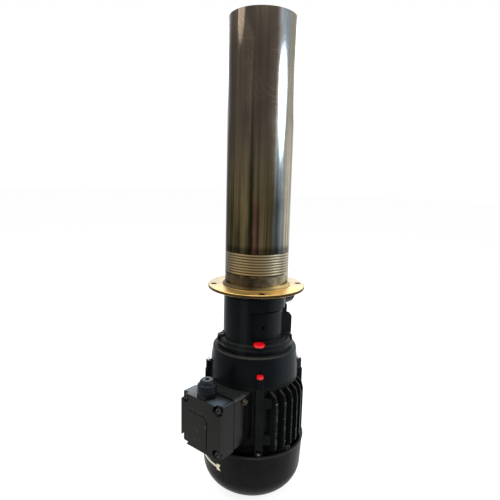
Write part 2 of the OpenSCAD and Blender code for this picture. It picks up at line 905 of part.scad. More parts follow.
module bearing_outer_ring(z) {
    color([0.72, 0.73, 0.75]) difference() {
        ring(bearing_r, ball_circle_r + race_land, z, z + bearing_w);
        rotate_extrude() translate([ball_circle_r, z + bearing_w / 2]) circle(r = ball_r + fit / 2, $fn = 48);
    }
}

module bearing_inner_ring(z) {
    color([0.72, 0.73, 0.75]) difference() {
        ring(ball_circle_r - race_land, bearing_bore_r, z, z + bearing_w);
        rotate_extrude() translate([ball_circle_r, z + bearing_w / 2]) circle(r = ball_r + fit / 2, $fn = 48);
    }
}

module bearing_balls(z) {
    color([0.85, 0.85, 0.87]) for (k = [0:ball_count - 1])
        at(360 / ball_count * k, ball_circle_r, z + bearing_w / 2) sphere(r = ball_r, $fn = 48);
}

module bearing_cage(z) {
    wall = race_land - free - free;
    rim = 1.2;
    high = ball_r + rim;
    color([0.7, 0.6, 0.35]) difference() {
        ring(ball_circle_r + wall / 2, ball_circle_r - wall / 2, z + bearing_w / 2 - high,
            z + bearing_w / 2 + high);
        for (k = [0:ball_count - 1]) at(360 / ball_count * k, 0, z + bearing_w / 2)
            rotate([90, 0, 0]) cylinder(r = ball_r + fit, h = bearing_r);
    }
}

module drive_bearing_outer_ring() { bearing_outer_ring(drive_bearing_bottom); }
module drive_bearing_inner_ring() { bearing_inner_ring(drive_bearing_bottom); }
module drive_bearing_balls() { bearing_balls(drive_bearing_bottom); }
module drive_bearing_cage() { bearing_cage(drive_bearing_bottom); }
module fan_bearing_outer_ring() { bearing_outer_ring(fan_bearing_bottom); }
module fan_bearing_inner_ring() { bearing_inner_ring(fan_bearing_bottom); }
module fan_bearing_balls() { bearing_balls(fan_bearing_bottom); }
module fan_bearing_cage() { bearing_cage(fan_bearing_bottom); }

module bearing_circlip() {
    gap_angle = 30;
    color([0.4, 0.4, 0.42]) difference() {
        ring(bearing_r + bearing_lip - fit, bearing_r - race_land, drive_bearing_bottom - bearing_lip + fit,
            drive_bearing_bottom);
        wedge([180 - gap_angle / 2, 180 + gap_angle / 2], 2 * bearing_r,
            drive_bearing_bottom - 2 * bearing_lip,
            drive_bearing_bottom + over);
    }
}

module fin_envelope() {
    rotate_extrude() polygon([[barrel_r - fin_root, fin_foot_z], [post_tail_in_r, fin_foot_z],
        [fin_tip_r - fin_t / 3, fin_foot_z + fin_bottom_slope * fin_heel_share],
        [fin_tip_r, fin_foot_z + fin_bottom_slope],
        [fin_tip_r, joint_z - fin_top_drop - fin_top_slope],
        [fin_tip_r - fin_t, joint_z - fin_top_drop - fin_t],
        [collar_r, joint_z - fin_top_drop + fin_t], [barrel_r - fin_root, joint_z - fin_top_drop + fin_t]]);
}

module motor_frame() {
    color([0.1, 0.11, 0.12]) difference() {
        union() {
            post(barrel_r, frame_bottom, joint_z);
            post(collar_r, joint_z - collar_h, joint_z);
            post(collar_r, frame_bottom, frame_bottom + collar_h);
            intersection() {
                fin_envelope();
                for (side = [1, 2, 3], k = [-fin_reach:fin_reach]) at(90 * side)
                    translate([k * fin_pitch - fin_t / 2, -fin_tip_r, frame_bottom])
                        cube([fin_t, fin_tip_r, frame_length]);
            }
            four() {
                out_block(post_w, stator_r + over, post_r, frame_bottom, joint_z);
                out_block(post_w, post_tail_in_r, post_r, frame_bottom - post_tail, frame_bottom);
            }
            for (k = [0:3], z = [joint_z - pad_top_drop, joint_z - pad_top_drop - pad_h - pad_gap])
                at(lug_angle + 90 * k) mirror([k % 2, 0, 0])
                    translate([post_w / 2 - over, -pad_r, z - pad_h])
                        cube([pad_w + over, pad_r - stator_r - over, pad_h]);
            for (k = [0:3]) at(lug_angle + 90 * k) mirror([k % 2, 0, 0])
                translate([post_w / 2, -rib_r, joint_z - pad_top_drop - 2 * pad_h - pad_gap])
                    cube([rib_w, rib_r - stator_r - over, pad_gap + pad_h]);
            front_slab(box_w, box_h, box_round, barrel_r - saddle_in, saddle_y, box_mid);
        }
        post(stator_r, frame_bottom - over, joint_z + over);
        post(register_r, joint_z - register_h - fit, joint_z + over);
        post(register_r, frame_bottom - over, frame_bottom + register_h + fit);
        translate([0, -stator_r + frame_wall, box_mid]) rotate([90, 0, 0])
            cylinder(r = wire_hole_r, h = frame_wall + saddle_in);
        for (x = [-1, 1], z = [-1, 1])
            translate([x * base_screw_x, -saddle_y - over, box_mid + z * base_screw_z])
                rotate([-90, 0, 0]) cylinder(r = m4_r, h = frame_wall + over);
        four() {
            translate([0, -lug_screw_r, 0]) post(m4_r, joint_z - m4_reach - over, joint_z + over);
            translate([0, -rear_screw_r, 0]) post(m5_r, frame_bottom - over, frame_bottom + m5_reach);
            out_block(2 * m4_head_r + 2 * fit, cover_screw_r - m4_head_r - fit, post_r + over,
                frame_bottom - post_tail + web_t, frame_bottom - post_tail + web_t + slot_h);
            translate([0, -cover_screw_r, 0]) post(m4_r + fit, frame_bottom - post_tail - over,
                frame_bottom + web_t);
        }
    }
}

module slot_boxes(w, deep) {
    for (k = [0:slot_count - 1]) at(360 / slot_count * k)
        out_block(w, bore_r + slot_in + (slot_deep - deep) / 2, bore_r + slot_in + (slot_deep + deep) / 2,
            stack_bottom - over, stack_top + over);
}

module stator_core() {
    color([0.45, 0.46, 0.48]) difference() {
        ring(stator_r - fit, bore_r, stack_bottom, stack_top);
        slot_boxes(slot_w, slot_deep);
    }
}

module winding_end() {
    rotate_extrude() translate([bore_r + slot_in + winding_w / 2, winding_h / 2])
        rounded(winding_w, winding_h, winding_round);
}

module stator_winding() {
    color([0.72, 0.38, 0.18]) {
        translate([0, 0, stack_top]) winding_end();
        translate([0, 0, stack_bottom - winding_h]) winding_end();
        slot_boxes(slot_w - 4 * fit, slot_deep - 4 * fit);
    }
}

module rotor_bars(r) {
    for (k = [0:bar_count - 1]) at(360 / bar_count * k, bar_circle_r)
        post(r, stack_bottom - over, stack_top + over);
}

module rotor_core() {
    color([0.45, 0.46, 0.48]) difference() {
        ring(rotor_r, rotor_shaft_r + fit / 2, stack_bottom, stack_top);
        rotor_bars(bar_r);
    }
}

module rotor_cage() {
    color([0.75, 0.76, 0.78]) {
        ring(rotor_r - end_ring_in, rotor_r - end_ring_in - end_ring_w, stack_top, stack_top + end_ring_h);
        ring(rotor_r - end_ring_in, rotor_r - end_ring_in - end_ring_w, stack_bottom - end_ring_h,
            stack_bottom);
        rotor_bars(bar_r - fit / 2);
        for (k = [0:cage_vanes - 1]) at(360 / cage_vanes * k) {
            out_block(fan_blade_t, rotor_r - end_ring_w, rotor_r - 2 * end_ring_in,
                stack_top + end_ring_h - over,
                stack_top + end_ring_h + vane_h);
            out_block(fan_blade_t, rotor_r - end_ring_w, rotor_r - 2 * end_ring_in,
                stack_bottom - end_ring_h - vane_h,
                stack_bottom - end_ring_h + over);
        }
    }
}

module spring_washer() {
    color([0.5, 0.5, 0.52]) ring(bearing_r - free, ball_circle_r + race_land, fan_bearing_bottom - washer_h,
        fan_bearing_bottom);
}

module rear_shield() {
    plate_bottom = frame_bottom - rear_plate_t;
    color([0.14, 0.15, 0.16]) difference() {
        union() {
            difference() {
                union() {
                    post(barrel_r - rear_plate_gap, plate_bottom, frame_bottom);
                    post(register_r - fit, frame_bottom - over, frame_bottom + register_h - free);
                }
                post(stator_r - register_w, frame_bottom - fit, frame_bottom + register_h + over);
            }
            post(hub_r, rear_hub_bottom, frame_bottom - over);
            four() out_block(rear_ear_w, stator_r, rear_ear_r, plate_bottom, frame_bottom - post_tail - free);
        }
        post(bearing_r + fit, fan_bearing_bottom - washer_h, frame_bottom + over);
        post(rotor_shaft_r, rear_hub_bottom - over, frame_bottom);
        four() translate([0, -rear_screw_r, 0]) post(m5_r + fit, plate_bottom - over, frame_bottom + over);
    }
}

module rear_shield_screws() {
    color([0.6, 0.61, 0.63]) four() translate([0, -rear_screw_r, frame_bottom - rear_plate_t])
        mirror([0, 0, 1])
        screw(m5_r, rear_plate_t + m5_reach - screw_end, m5_head_r, m5_head_h);
}

// Fan and fan cover

module fan() {
    color([0.16, 0.16, 0.17]) difference() {
        union() {
            post(fan_hub_r, fan_bottom, fan_top);
            post(fan_r, fan_top - fan_plate_t, fan_top);
            for (k = [0:fan_blades - 1]) at(360 / fan_blades * k)
                out_block(fan_blade_t, fan_hub_r - over, fan_r, fan_bottom + fan_plate_t,
                    fan_top - fan_plate_t / 2);
        }
        post(fan_shaft_r + fit / 2, fan_bottom - over, fan_top + over);
    }
}

module fan_circlip() {
    color([0.4, 0.4, 0.42]) difference() {
        ring(clip_share * fan_shaft_r, groove_share * fan_shaft_r + fit / 2,
            fan_bottom - washer_h + fit / 2, fan_bottom);
        wedge([-clip_angle / 2, clip_angle / 2], 2 * fan_shaft_r, fan_bottom - 2 * washer_h,
            fan_bottom + over);
    }
}

function dome(inset) = [for (k = [0:dome_steps]) let (t = dome_end * k / dome_steps)
    [dome_low_r - dome_run * (1 - cos(t)) - inset * cos(t), dome_z - (dome_rise - inset) * sin(t)]];

module cover_shell(inset) {
    foot = cover_rim - rim_bead_h;
    rotate_extrude() polygon(concat([[0, cover_rim + (inset > 0 ? over : 0)],
        [cover_r - inset, cover_rim + (inset > 0 ? over : 0)], [cover_r - inset, foot - rim_lip_h]],
        dome(inset), [[0, cover_bottom + inset]]));
}

module fan_cover() {
    color([0.17, 0.17, 0.18]) difference() {
        union() {
            difference() {
                union() {
                    cover_shell(0);
                    rotate_extrude() polygon([[cover_r - over, cover_rim - rim_bead_h],
                        [cover_r + rim_bead / 2, cover_rim - rim_bead_h],
                        [cover_r + rim_bead, cover_rim - rim_bead_h + rim_lip_h],
                        [cover_r + rim_bead, cover_rim - rim_lip_h], [cover_r, cover_rim - rim_lip_h / 2],
                        [cover_r - over, cover_rim - rim_lip_h / 2]]);
                }
                cover_shell(cover_wall);
            }
            four() out_block(cover_boss_w, cover_boss_in, cover_r - cover_wall / 2,
                frame_bottom - post_tail - cover_boss_h, frame_bottom - post_tail);
        }
        four() translate([0, -cover_screw_r, 0]) post(m4_r, frame_bottom - post_tail - cover_boss_h - over,
            frame_bottom);
        for (k = [0:grille_slots - 1]) at(360 / grille_slots * k)
            out_block(grille_w, cover_flat_r * grille_shares[0], cover_flat_r * grille_shares[1],
                cover_bottom - over,
                cover_bottom + 2 * cover_wall);
        for (k = [0:grille_slots - 1]) at(360 / grille_slots * (k + 0.5))
            out_block(grille_w, cover_flat_r * side_slot_shares[0], cover_flat_r * side_slot_shares[1],
                cover_bottom - over, dome_z - dome_rise / 2);
    }
}

module fan_cover_screws() {
    color([0.5, 0.5, 0.52]) four() translate([0, -cover_screw_r, frame_bottom - post_tail + web_t])
        screw(m4_r, cover_screw_reach, m4_head_r, m4_head_h);
}

module rotation_arrow() {
    low = arrow_z - arrow_head_w;
    high = arrow_z + arrow_head_w;
    wall_h = cover_rim - rim_bead_h - rim_lip_h - dome_z;
    function wall_r(z) = dome_low_r + cover_low_in * (z - dome_z) / wall_h;
    module skin(gap) {
        rotate_extrude() polygon([[0, low], [wall_r(low) + gap, low], [wall_r(high) + gap, high], [0, high]]);
    }
    color([0.93, 0.91, 0.8]) intersection() {
        difference() {
            skin(arrow_gap + arrow_t);
            skin(arrow_gap);
        }
        union() {
            wedge([arrow_ends[0] + arrow_stem_in[0], arrow_ends[1] - arrow_stem_in[1]], 2 * cover_r,
                arrow_z - arrow_w / 2, arrow_z + arrow_w / 2);
            at(arrow_ends[1], 2 * cover_r, arrow_z) rotate([-90, 0, 0]) linear_extrude(2 * cover_r)
                polygon([[-arrow_tail_l, 0], [(arrow_notch_share - 1) * arrow_tail_l, -arrow_tail_w / 2],
                    [0, -arrow_tail_w / 2], [-arrow_notch_share * arrow_tail_l, 0], [0, arrow_tail_w / 2],
                    [(arrow_notch_share - 1) * arrow_tail_l, arrow_tail_w / 2]]);
            at(arrow_ends[0], 2 * cover_r, arrow_z) rotate([-90, 0, 0]) linear_extrude(2 * cover_r)
                polygon([[0, 0], [arrow_head_l, -arrow_head_w / 2], [arrow_head_l, arrow_head_w / 2]]);
        }
    }
}

// Terminal box

module box_screw_places() {
    for (x = [-1, 1], z = [-1, 1]) translate([x * box_screw_x, 0, box_mid + z * box_screw_z]) children();
}

// cylinder that lies across Y, from a near to a far distance in front of the axis
module front_post(r, y0, y1) {
    translate([0, -y0, 0]) rotate([90, 0, 0]) cylinder(r = r, h = y1 - y0);
}

module terminal_box_base() {
    color([0.13, 0.14, 0.15]) difference() {
        union() {
            difference() {
                front_slab(box_w, box_h, box_round, base_back, base_front, box_mid);
                front_slab(box_w - 2 * box_wall, box_h - 2 * box_wall, box_round - box_wall / 2,
                    base_back + box_wall,
                    base_front + over, box_mid);
            }
            intersection() {
                box_screw_places() front_post(box_boss_r, base_back + over, base_front);
                front_slab(box_w - box_wall, box_h - box_wall, box_round, base_back, base_front, box_mid);
            }
        }
        translate([0, 0, box_mid]) front_post(wire_hole_r, base_back - over, base_back + 2 * box_wall);
        box_screw_places() front_post(m4_r, base_front - box_screw_reach, base_front + over);
        for (x = [-1, 1], z = [-1, 1]) translate([x * base_screw_x, 0, box_mid + z * base_screw_z])
            front_post(m4_r + fit, base_back - over, base_back + 2 * box_wall);
        translate([box_w / 2 - 2 * box_wall, -earth_y, earth_z]) rotate([0, 90, 0])
            cylinder(r = m4_r, h = 2 * box_wall + over);
    }
}

module terminal_base_screws() {
    color([0.7, 0.6, 0.35]) for (x = [-1, 1], z = [-1, 1])
        translate([x * base_screw_x, -base_back - box_wall, box_mid + z * base_screw_z]) rotate([90, 0, 0])
            screw(m4_r, box_wall + base_seal + frame_wall - screw_end, m4_head_r, m4_head_h);
}

module terminal_box_gasket() {
    color([0.08, 0.08, 0.08]) {
        difference() {
            front_slab(box_w - box_seal_in, box_h - box_seal_in, box_round, base_front, hood_back, box_mid);
            front_slab(box_w - 2 * box_wall, box_h - 2 * box_wall, box_round, base_front - over,
                hood_back + over, box_mid);
            box_screw_places() front_post(m4_r + fit, base_front - over, hood_back + over);
        }
        difference() {
            front_slab(box_w - box_seal_in, box_h - box_seal_in, box_round, saddle_y, base_back, box_mid);
            translate([0, 0, box_mid]) front_post(wire_hole_r, saddle_y - over, base_back + over);
            for (x = [-1, 1], z = [-1, 1]) translate([x * base_screw_x, 0, box_mid + z * base_screw_z])
                front_post(m4_r + fit, saddle_y - over, base_back + over);
        }
    }
}

module terminal_box_hood() {
    pocket_front = hood_front + over;
    color([0.13, 0.14, 0.15]) difference() {
        union() {
            difference() {
                front_slab(box_w, box_h, hood_round, hood_back, hood_front, box_mid);
                front_slab(box_w - 2 * box_wall, box_h - 2 * box_wall, hood_round, hood_back - over,
                    hood_front - box_wall, box_mid);
            }
            intersection() {
                box_screw_places() front_post(box_pocket_r + box_wall / 2, hood_back, hood_front - over);
                front_slab(box_w - box_wall, box_h - box_wall, hood_round, hood_back, hood_front, box_mid);
            }
            translate([(panel_left - panel_right) / 2, 0, 0])
                front_slab(panel_w, panel_h, panel_round, hood_front - over, hood_front + panel_t,
                    box_mid + (panel_foot - panel_head) / 2);
        }
        box_screw_places() {
            front_post(m4_r + fit, hood_back - over, hood_front);
            front_post(box_pocket_r, hood_front - box_pocket_d, pocket_front + over);
        }
        for (x = [-1, 1], z = [-1, 1])
            translate([x * (box_screw_x + box_w / 2), 0, box_mid + z * (box_screw_z + box_h / 2)])
                front_slab(box_w, box_h, over, hood_front - box_pocket_d, pocket_front + over);
        translate([0, -gland_y, 0]) post(gland_thread_r + fit, box_top - 2 * box_wall, box_top + over);
    }
}

module hood_screws() {
    color([0.2, 0.2, 0.21]) box_screw_places() translate([0, -hood_front + box_pocket_d, 0])
        rotate([90, 0, 0])
        screw(m4_r, box_hood_d - box_pocket_d + box_seal + box_screw_reach - screw_end, m4_head_r, m4_head_h);
}

module stud_places() {
    for (x = [-1, 0, 1], z = [-1, 1]) translate([x * stud_pitch, 0, box_mid + z * stud_row / 2]) children();
}

module terminal_board() {
    color([0.85, 0.8, 0.65]) difference() {
        front_slab(board_w, board_h, stud_r, base_back + box_wall, base_back + box_wall + board_t, box_mid);
        stud_places() front_post(stud_r + fit, base_back + box_wall + board_t / 2,
            base_back + box_wall + board_t + over);
    }
}

// six brass studs, each with its nut, and the bars that join three of them
module terminal_studs() {
    face = base_back + box_wall + board_t;
    color([0.8, 0.65, 0.3]) {
        stud_places() front_post(stud_r, face - board_t / 2 + fit, face + stud_l);
        stud_places() translate([0, -face - link_t, 0]) rotate([90, 0, 0])
            cylinder(r = 2 * stud_r, h = stud_nut_h, $fn = 6);
        for (x = [-1, 0, 1]) translate([x * stud_pitch, 0, 0])
            front_slab(2 * stud_r + fit, stud_row, stud_r, face, face + link_t + fit, box_mid);
        stud_places() front_post(2 * stud_r, face, face + link_t + fit);
    }
}

module gland_body() {
    hex_r = gland_key_w / 2 / cos(30);
    color([0.2, 0.21, 0.22]) translate([0, -gland_y, box_top]) difference() {
        union() {
            cylinder(r = hex_r, h = gland_hex_h, $fn = 6);
            cylinder(r = gland_neck_r, h = gland_hex_h + gland_neck_h);
            translate([0, 0, -box_wall]) cylinder(r = gland_thread_r, h = box_wall + over);
        }
        translate([0, 0, -box_wall - over])
            cylinder(r = gland_bore_r, h = box_wall + gland_hex_h + gland_neck_h + 2 * over);
    }
}

// pressure nut with its rubber insert left as the narrow hole
module gland_nut() {
    foot = gland_hex_h + gland_play;
    outer = gland_nut_share * gland_key_w;
    low = foot + gland_nut_h / 3;
    high = foot + 2 * gland_nut_h / 3;
    color([0.24, 0.25, 0.27]) translate([0, -gland_y, box_top]) difference() {
        union() {
            rotate_extrude() polygon([[0, foot], [outer, foot],
                [outer, low - gland_groove], [outer - gland_groove, low], [outer, low + gland_groove],
                [outer, high - gland_groove], [outer - gland_groove, high], [outer, high + gland_groove],
                [outer, foot + gland_nut_h - gland_ring_h], [outer - gland_ring_h / 2, foot + gland_nut_h],
                [gland_dome_r + gland_ring_h, foot + gland_nut_h + gland_ring_h],
                [gland_dome_r, foot + gland_nut_h + gland_dome_h * dome_side_share],
                [gland_dome_r * dome_top_share, foot + gland_nut_h + gland_dome_h],
                [0, foot + gland_nut_h + gland_dome_h]]);
        }
        translate([0, 0, foot - over]) cylinder(r = gland_neck_r + fit, h = gland_neck_h + over);
        translate([0, 0, foot]) cylinder(r = gland_hole_r, h = gland_nut_h + gland_dome_h + over);
    }
}

module earth_screw() {
    color([0.8, 0.66, 0.4]) translate([box_w / 2, -earth_y, earth_z]) rotate([0, 90, 0]) difference() {
        union() {
            cylinder(r = earth_washer_r, h = earth_washer_t);
            cylinder(r = earth_head_r, h = earth_washer_t + earth_head_h);
            translate([0, 0, -earth_reach]) cylinder(r = m4_r - fit / 2, h = earth_reach);
        }
        translate([-2 * earth_head_r, -earth_washer_t / 2, earth_washer_t + earth_head_h / 2])
            cube([4 * earth_head_r, earth_washer_t, earth_head_h]);
    }
}

pump_tube();
mounting_flange();
flange_gasket();
pump_head();
throttle_bush();
head_screws();
head_screw_cap();
suction_strainer();
suction_cover();
tube_retaining_rings();
stage_casing_1();
stage_casing_2();
stage_casing_3();
impeller_1();
impeller_2();
impeller_3();
spacer_sleeve_1();
spacer_sleeve_2();
impeller_nut();
impeller_key();
guide_spider();
guide_bush();
shaft();
slinger_ring();
shaft_seal();
drive_shield();
shield_screws();
shield_screw_cap();
drive_bearing_outer_ring();
drive_bearing_inner_ring();
drive_bearing_balls();
drive_bearing_cage();
bearing_circlip();
motor_frame();
stator_core();
stator_winding();
rotor_core();
rotor_cage();
fan_bearing_outer_ring();
fan_bearing_inner_ring();
fan_bearing_balls();
fan_bearing_cage();
spring_washer();
rear_shield();
rear_shield_screws();
fan();
fan_circlip();
fan_cover();
fan_cover_screws();
rotation_arrow();
terminal_box_base();
terminal_base_screws();
terminal_box_gasket();
terminal_box_hood();
hood_screws();
terminal_board();
terminal_studs();
gland_body();
gland_nut();
earth_screw();
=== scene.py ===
import json
import math

import bpy
from mathutils import Matrix, Vector


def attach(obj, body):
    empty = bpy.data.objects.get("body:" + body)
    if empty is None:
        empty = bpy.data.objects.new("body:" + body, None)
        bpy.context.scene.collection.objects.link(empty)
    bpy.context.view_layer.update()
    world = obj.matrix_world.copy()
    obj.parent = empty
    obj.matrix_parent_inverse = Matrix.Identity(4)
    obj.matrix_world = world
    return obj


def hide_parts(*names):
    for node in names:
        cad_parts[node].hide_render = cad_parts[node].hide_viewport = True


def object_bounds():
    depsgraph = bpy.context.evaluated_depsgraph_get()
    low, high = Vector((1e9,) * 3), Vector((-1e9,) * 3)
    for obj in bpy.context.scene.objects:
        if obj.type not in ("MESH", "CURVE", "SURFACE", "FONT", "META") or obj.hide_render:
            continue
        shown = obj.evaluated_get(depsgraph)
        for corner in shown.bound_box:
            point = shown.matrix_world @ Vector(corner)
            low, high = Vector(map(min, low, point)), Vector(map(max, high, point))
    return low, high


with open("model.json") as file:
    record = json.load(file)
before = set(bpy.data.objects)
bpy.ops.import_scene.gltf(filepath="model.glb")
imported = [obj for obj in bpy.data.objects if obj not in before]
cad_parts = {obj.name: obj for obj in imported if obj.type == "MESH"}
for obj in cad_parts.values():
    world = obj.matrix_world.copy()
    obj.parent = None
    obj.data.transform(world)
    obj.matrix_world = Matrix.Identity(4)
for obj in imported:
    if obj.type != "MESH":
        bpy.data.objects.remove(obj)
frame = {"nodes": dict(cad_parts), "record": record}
cadLow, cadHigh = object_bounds()
mm = 0.001
record = frame["record"]
bodyOf = {node: body for body, nodes in record["behaviour"]["bodies"].items() for node in nodes}
print("frame loaded,", len(bodyOf), "nodes")


# selecting, shaping and finishing meshes

def deselectAll():
    if bpy.context.object and bpy.context.object.mode != "OBJECT":
        bpy.ops.object.mode_set(mode="OBJECT")
    bpy.ops.object.select_all(action="DESELECT")


def pick(piece):
    deselectAll()
    bpy.context.view_layer.objects.active = piece
    piece.select_set(True)


def edit(piece):
    pick(piece)
    bpy.ops.object.mode_set(mode="EDIT")
    bpy.ops.mesh.select_all(action="SELECT")


def applyModifiers(piece):
    pick(piece)
    for modifier in list(piece.modifiers):
        bpy.ops.object.modifier_apply(modifier=modifier.name)


def smooth(piece, degrees):
    pick(piece)
    bpy.ops.object.shade_smooth_by_angle(angle=math.radians(degrees))


def finishPiece(piece, material, node):
    pick(piece)
    bpy.ops.object.transform_apply(location=True, rotation=True, scale=True)
    piece.data.materials.clear()
    piece.data.materials.append(material)
    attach(piece, bodyOf[node])
    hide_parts(node)


# what all dressed pieces share, in millimetres and degrees
dressing = {"mergeUnder": 0.004, "flatUnder": 0.8, "sharpFrom": 32, "bevelSegments": 2}


def roundEdges(piece, width):
    bevel = piece.modifiers.new("roundEdges", "BEVEL")
    bevel.width = width * mm
    bevel.segments = dressing["bevelSegments"]
    bevel.limit_method = "ANGLE"
    bevel.angle_limit = math.radians(dressing["sharpFrom"])
    applyModifiers(piece)


# turns a profile of radius and height, in millimetres, about the pump's axis
def turnProfile(name, outline, steps):
    deselectAll()
    bpy.ops.mesh.primitive_plane_add(size=mm)
    piece = bpy.context.object
    piece.name = piece.data.name = name
    edit(piece)
    bpy.ops.mesh.merge(type="CENTER")
    bpy.ops.transform.translate(value=(outline[0][0] * mm, 0, outline[0][1] * mm))
    for (r0, z0), (r1, z1) in zip(outline, outline[1:]):
        move = ((r1 - r0) * mm, 0, (z1 - z0) * mm)
        bpy.ops.mesh.extrude_region_move(TRANSFORM_OT_translate={"value": move})
    bpy.ops.mesh.select_all(action="SELECT")
    bpy.ops.mesh.spin(steps=steps, angle=2 * math.pi, center=(0, 0, 0), axis=(0, 0, 1))
    bpy.ops.mesh.select_all(action="SELECT")
    bpy.ops.mesh.remove_doubles(threshold=dressing["mergeUnder"] * mm)
    bpy.ops.mesh.normals_make_consistent(inside=False)
    bpy.ops.object.mode_set(mode="OBJECT")
    return piece


# takes the shape of a solid, joins its faces and breaks its sharp edges
def dressNode(node, name, material, edge):
    piece = bpy.data.objects.new(name, frame["nodes"][node].data.copy())
    piece.data.name = name
    bpy.context.scene.collection.objects.link(piece)
    edit(piece)
    bpy.ops.mesh.customdata_custom_splitnormals_clear()
    bpy.ops.mesh.remove_doubles(threshold=dressing["mergeUnder"] * mm)
    bpy.ops.mesh.dissolve_limited(angle_limit=math.radians(dressing["flatUnder"]))
    bpy.ops.object.mode_set(mode="OBJECT")
    if edge:
        roundEdges(piece, edge)
    smooth(piece, dressing["sharpFrom"])
    weighted = piece.modifiers.new("weighted", "WEIGHTED_NORMAL")
    weighted.keep_sharp = True
    applyModifiers(piece)
    finishPiece(piece, material, node)


# node building

def addNode(tree, kind, sockets=None, **fields):
    made = tree.nodes.new("ShaderNode" + kind)
    for field, value in fields.items():
        setattr(made, field, value)
    for name, value in (sockets or {}).items():
        if isinstance(value, bpy.types.NodeSocket):
            tree.links.new(value, made.inputs[name])
        else:
            made.inputs[name].default_value = value
    return made


def placeGroup(tree, group, **sockets):
    return addNode(tree, "Group", sockets, node_tree=group).outputs


# colours are shares of red, green and blue
black = (0, 0, 0)


def mixColours(tree, factor, first, second):
    first, second = (colour if isinstance(colour, bpy.types.NodeSocket) else (*colour, 1)
                     for colour in (first, second))
    return addNode(tree, "Mix", {0: factor, 6: first, 7: second}, data_type="RGBA").outputs[2]


def calc(tree, operation, first, second=0.0, clamp=False):
    return addNode(tree, "Math", {0: first, 1: second}, operation=operation, use_clamp=clamp).outputs[0]


def product(tree, first, *others):
    for other in others:
        first = calc(tree, "MULTIPLY", first, other)
    return first


# carries a value from one range over to another and stops it at the ends
def spread(tree, value, low, high, toLow=0.0, toHigh=1.0):
    return addNode(tree, "MapRange", {"Value": value, "From Min": low, "From Max": high, "To Min": toLow,
                                      "To Max": toHigh}).outputs[0]


# is 1 after the rise and before the fall, which is written from its far end back
def window(tree, value, rise, fall):
    return product(tree, spread(tree, value, *rise), spread(tree, value, *fall))


# multiplies a value by a factor where a mask is 1
def scaleBy(tree, value, mask, factor):
    return product(tree, value, spread(tree, mask, 0, 1, 1.0, factor))


def noise(tree, vector, scale, detail, roughness):
    return addNode(tree, "TexNoise", {"Vector": vector, "Scale": scale, "Detail": detail,
                                      "Roughness": roughness}).outputs[0]


def distance(tree, *asides):
    vector = addNode(tree, "CombineXYZ", dict(enumerate(asides))).outputs[0]
    return addNode(tree, "VectorMath", {0: vector}, operation="LENGTH").outputs["Value"]


# effects that several materials share, each over a place and with the values that it takes

def newGroup(name, takes, gives):
    group = bpy.data.node_groups.new(name, "ShaderNodeTree")
    group.interface.new_socket(name="Vector", in_out="INPUT", socket_type="NodeSocketVector")
    for label in takes:
        group.interface.new_socket(name=label, in_out="INPUT", socket_type="NodeSocketFloat")
    for label in gives:
        group.interface.new_socket(name=label, in_out="OUTPUT", socket_type="NodeSocketFloat")
    return group, group.nodes.new("NodeGroupInput").outputs, group.nodes.new("NodeGroupOutput").inputs


# a noise is its scale, detail and roughness, and an edge is where a value starts and ends its change
skinEffect = {"slow": (28.0, 4.0, 0.6), "slowEdge": (0.35, 0.65), "slowHeight": 1.6, "fine": (2.0, 0.6),
              "dabs": (190.0, 3.0, 0.75), "dabEdge": (0.62, 0.7),
              "patches": (23.0, 2.0, 0.5), "patchEdge": (0.56, 0.66)}


# the grain of paint over a casting, its slow change of shade, and scuffs
def buildCastSkin(look):
    group, given, out = newGroup("castSkin", ["Grain", "Scuffs"], ["Mottle", "Scuff", "Height"])
    slow = noise(group, given["Vector"], *look["slow"])
    fine = noise(group, given["Vector"], given["Grain"], *look["fine"])
    dabs = spread(group, noise(group, given["Vector"], *look["dabs"]), *look["dabEdge"])
    patches = spread(group, noise(group, given["Vector"], *look["patches"]), *look["patchEdge"])
    group.links.new(spread(group, slow, *look["slowEdge"]), out["Mottle"])
    rubbed = product(group, dabs, patches)
    group.links.new(calc(group, "MULTIPLY", rubbed, given["Scuffs"], True), out["Scuff"])
    group.links.new(calc(group, "ADD", fine, product(group, slow, look["slowHeight"])), out["Height"])
    return group


streakEffect = {"streaks": (3.0, 0.6), "streakEdge": (0.38, 0.62),
                "hairs": (2.0, 0.7), "hairEdge": (0.4, 0.6), "hairsFiner": 9.0,
                "clouds": (14.0, 4.0, 0.6), "cloudEdge": (0.35, 0.65)}


# long marks along the axis, as a drawn and polished tube has
def buildDrawnStreaks(look):
    group, given, out = newGroup("drawnStreaks", ["Width", "Length"], ["Streak", "Hair", "Cloud"])
    x, y, z = addNode(group, "SeparateXYZ", {0: given["Vector"]}).outputs
    drawn = addNode(group, "CombineXYZ", {0: x, 1: y, 2: product(group, z, given["Length"])}).outputs[0]
    streaks = noise(group, drawn, given["Width"], *look["streaks"])
    group.links.new(spread(group, streaks, *look["streakEdge"]), out["Streak"])
    hairs = noise(group, drawn, product(group, given["Width"], look["hairsFiner"]), *look["hairs"])
    group.links.new(spread(group, hairs, *look["hairEdge"]), out["Hair"])
    clouds = noise(group, given["Vector"], *look["clouds"])
    group.links.new(spread(group, clouds, *look["cloudEdge"]), out["Cloud"])
    return group


# how far a face looks upwards runs from 0 on a wall to 1 on a level top
dustAndSheenEffect = {"sloping": (0.2, 0.6), "level": (0.86, 0.985, 1.0, 0.4), "specks": (420.0, 4.0, 0.8),
              "speckEdge": (0.4, 0.62, 0.45, 1.0)}
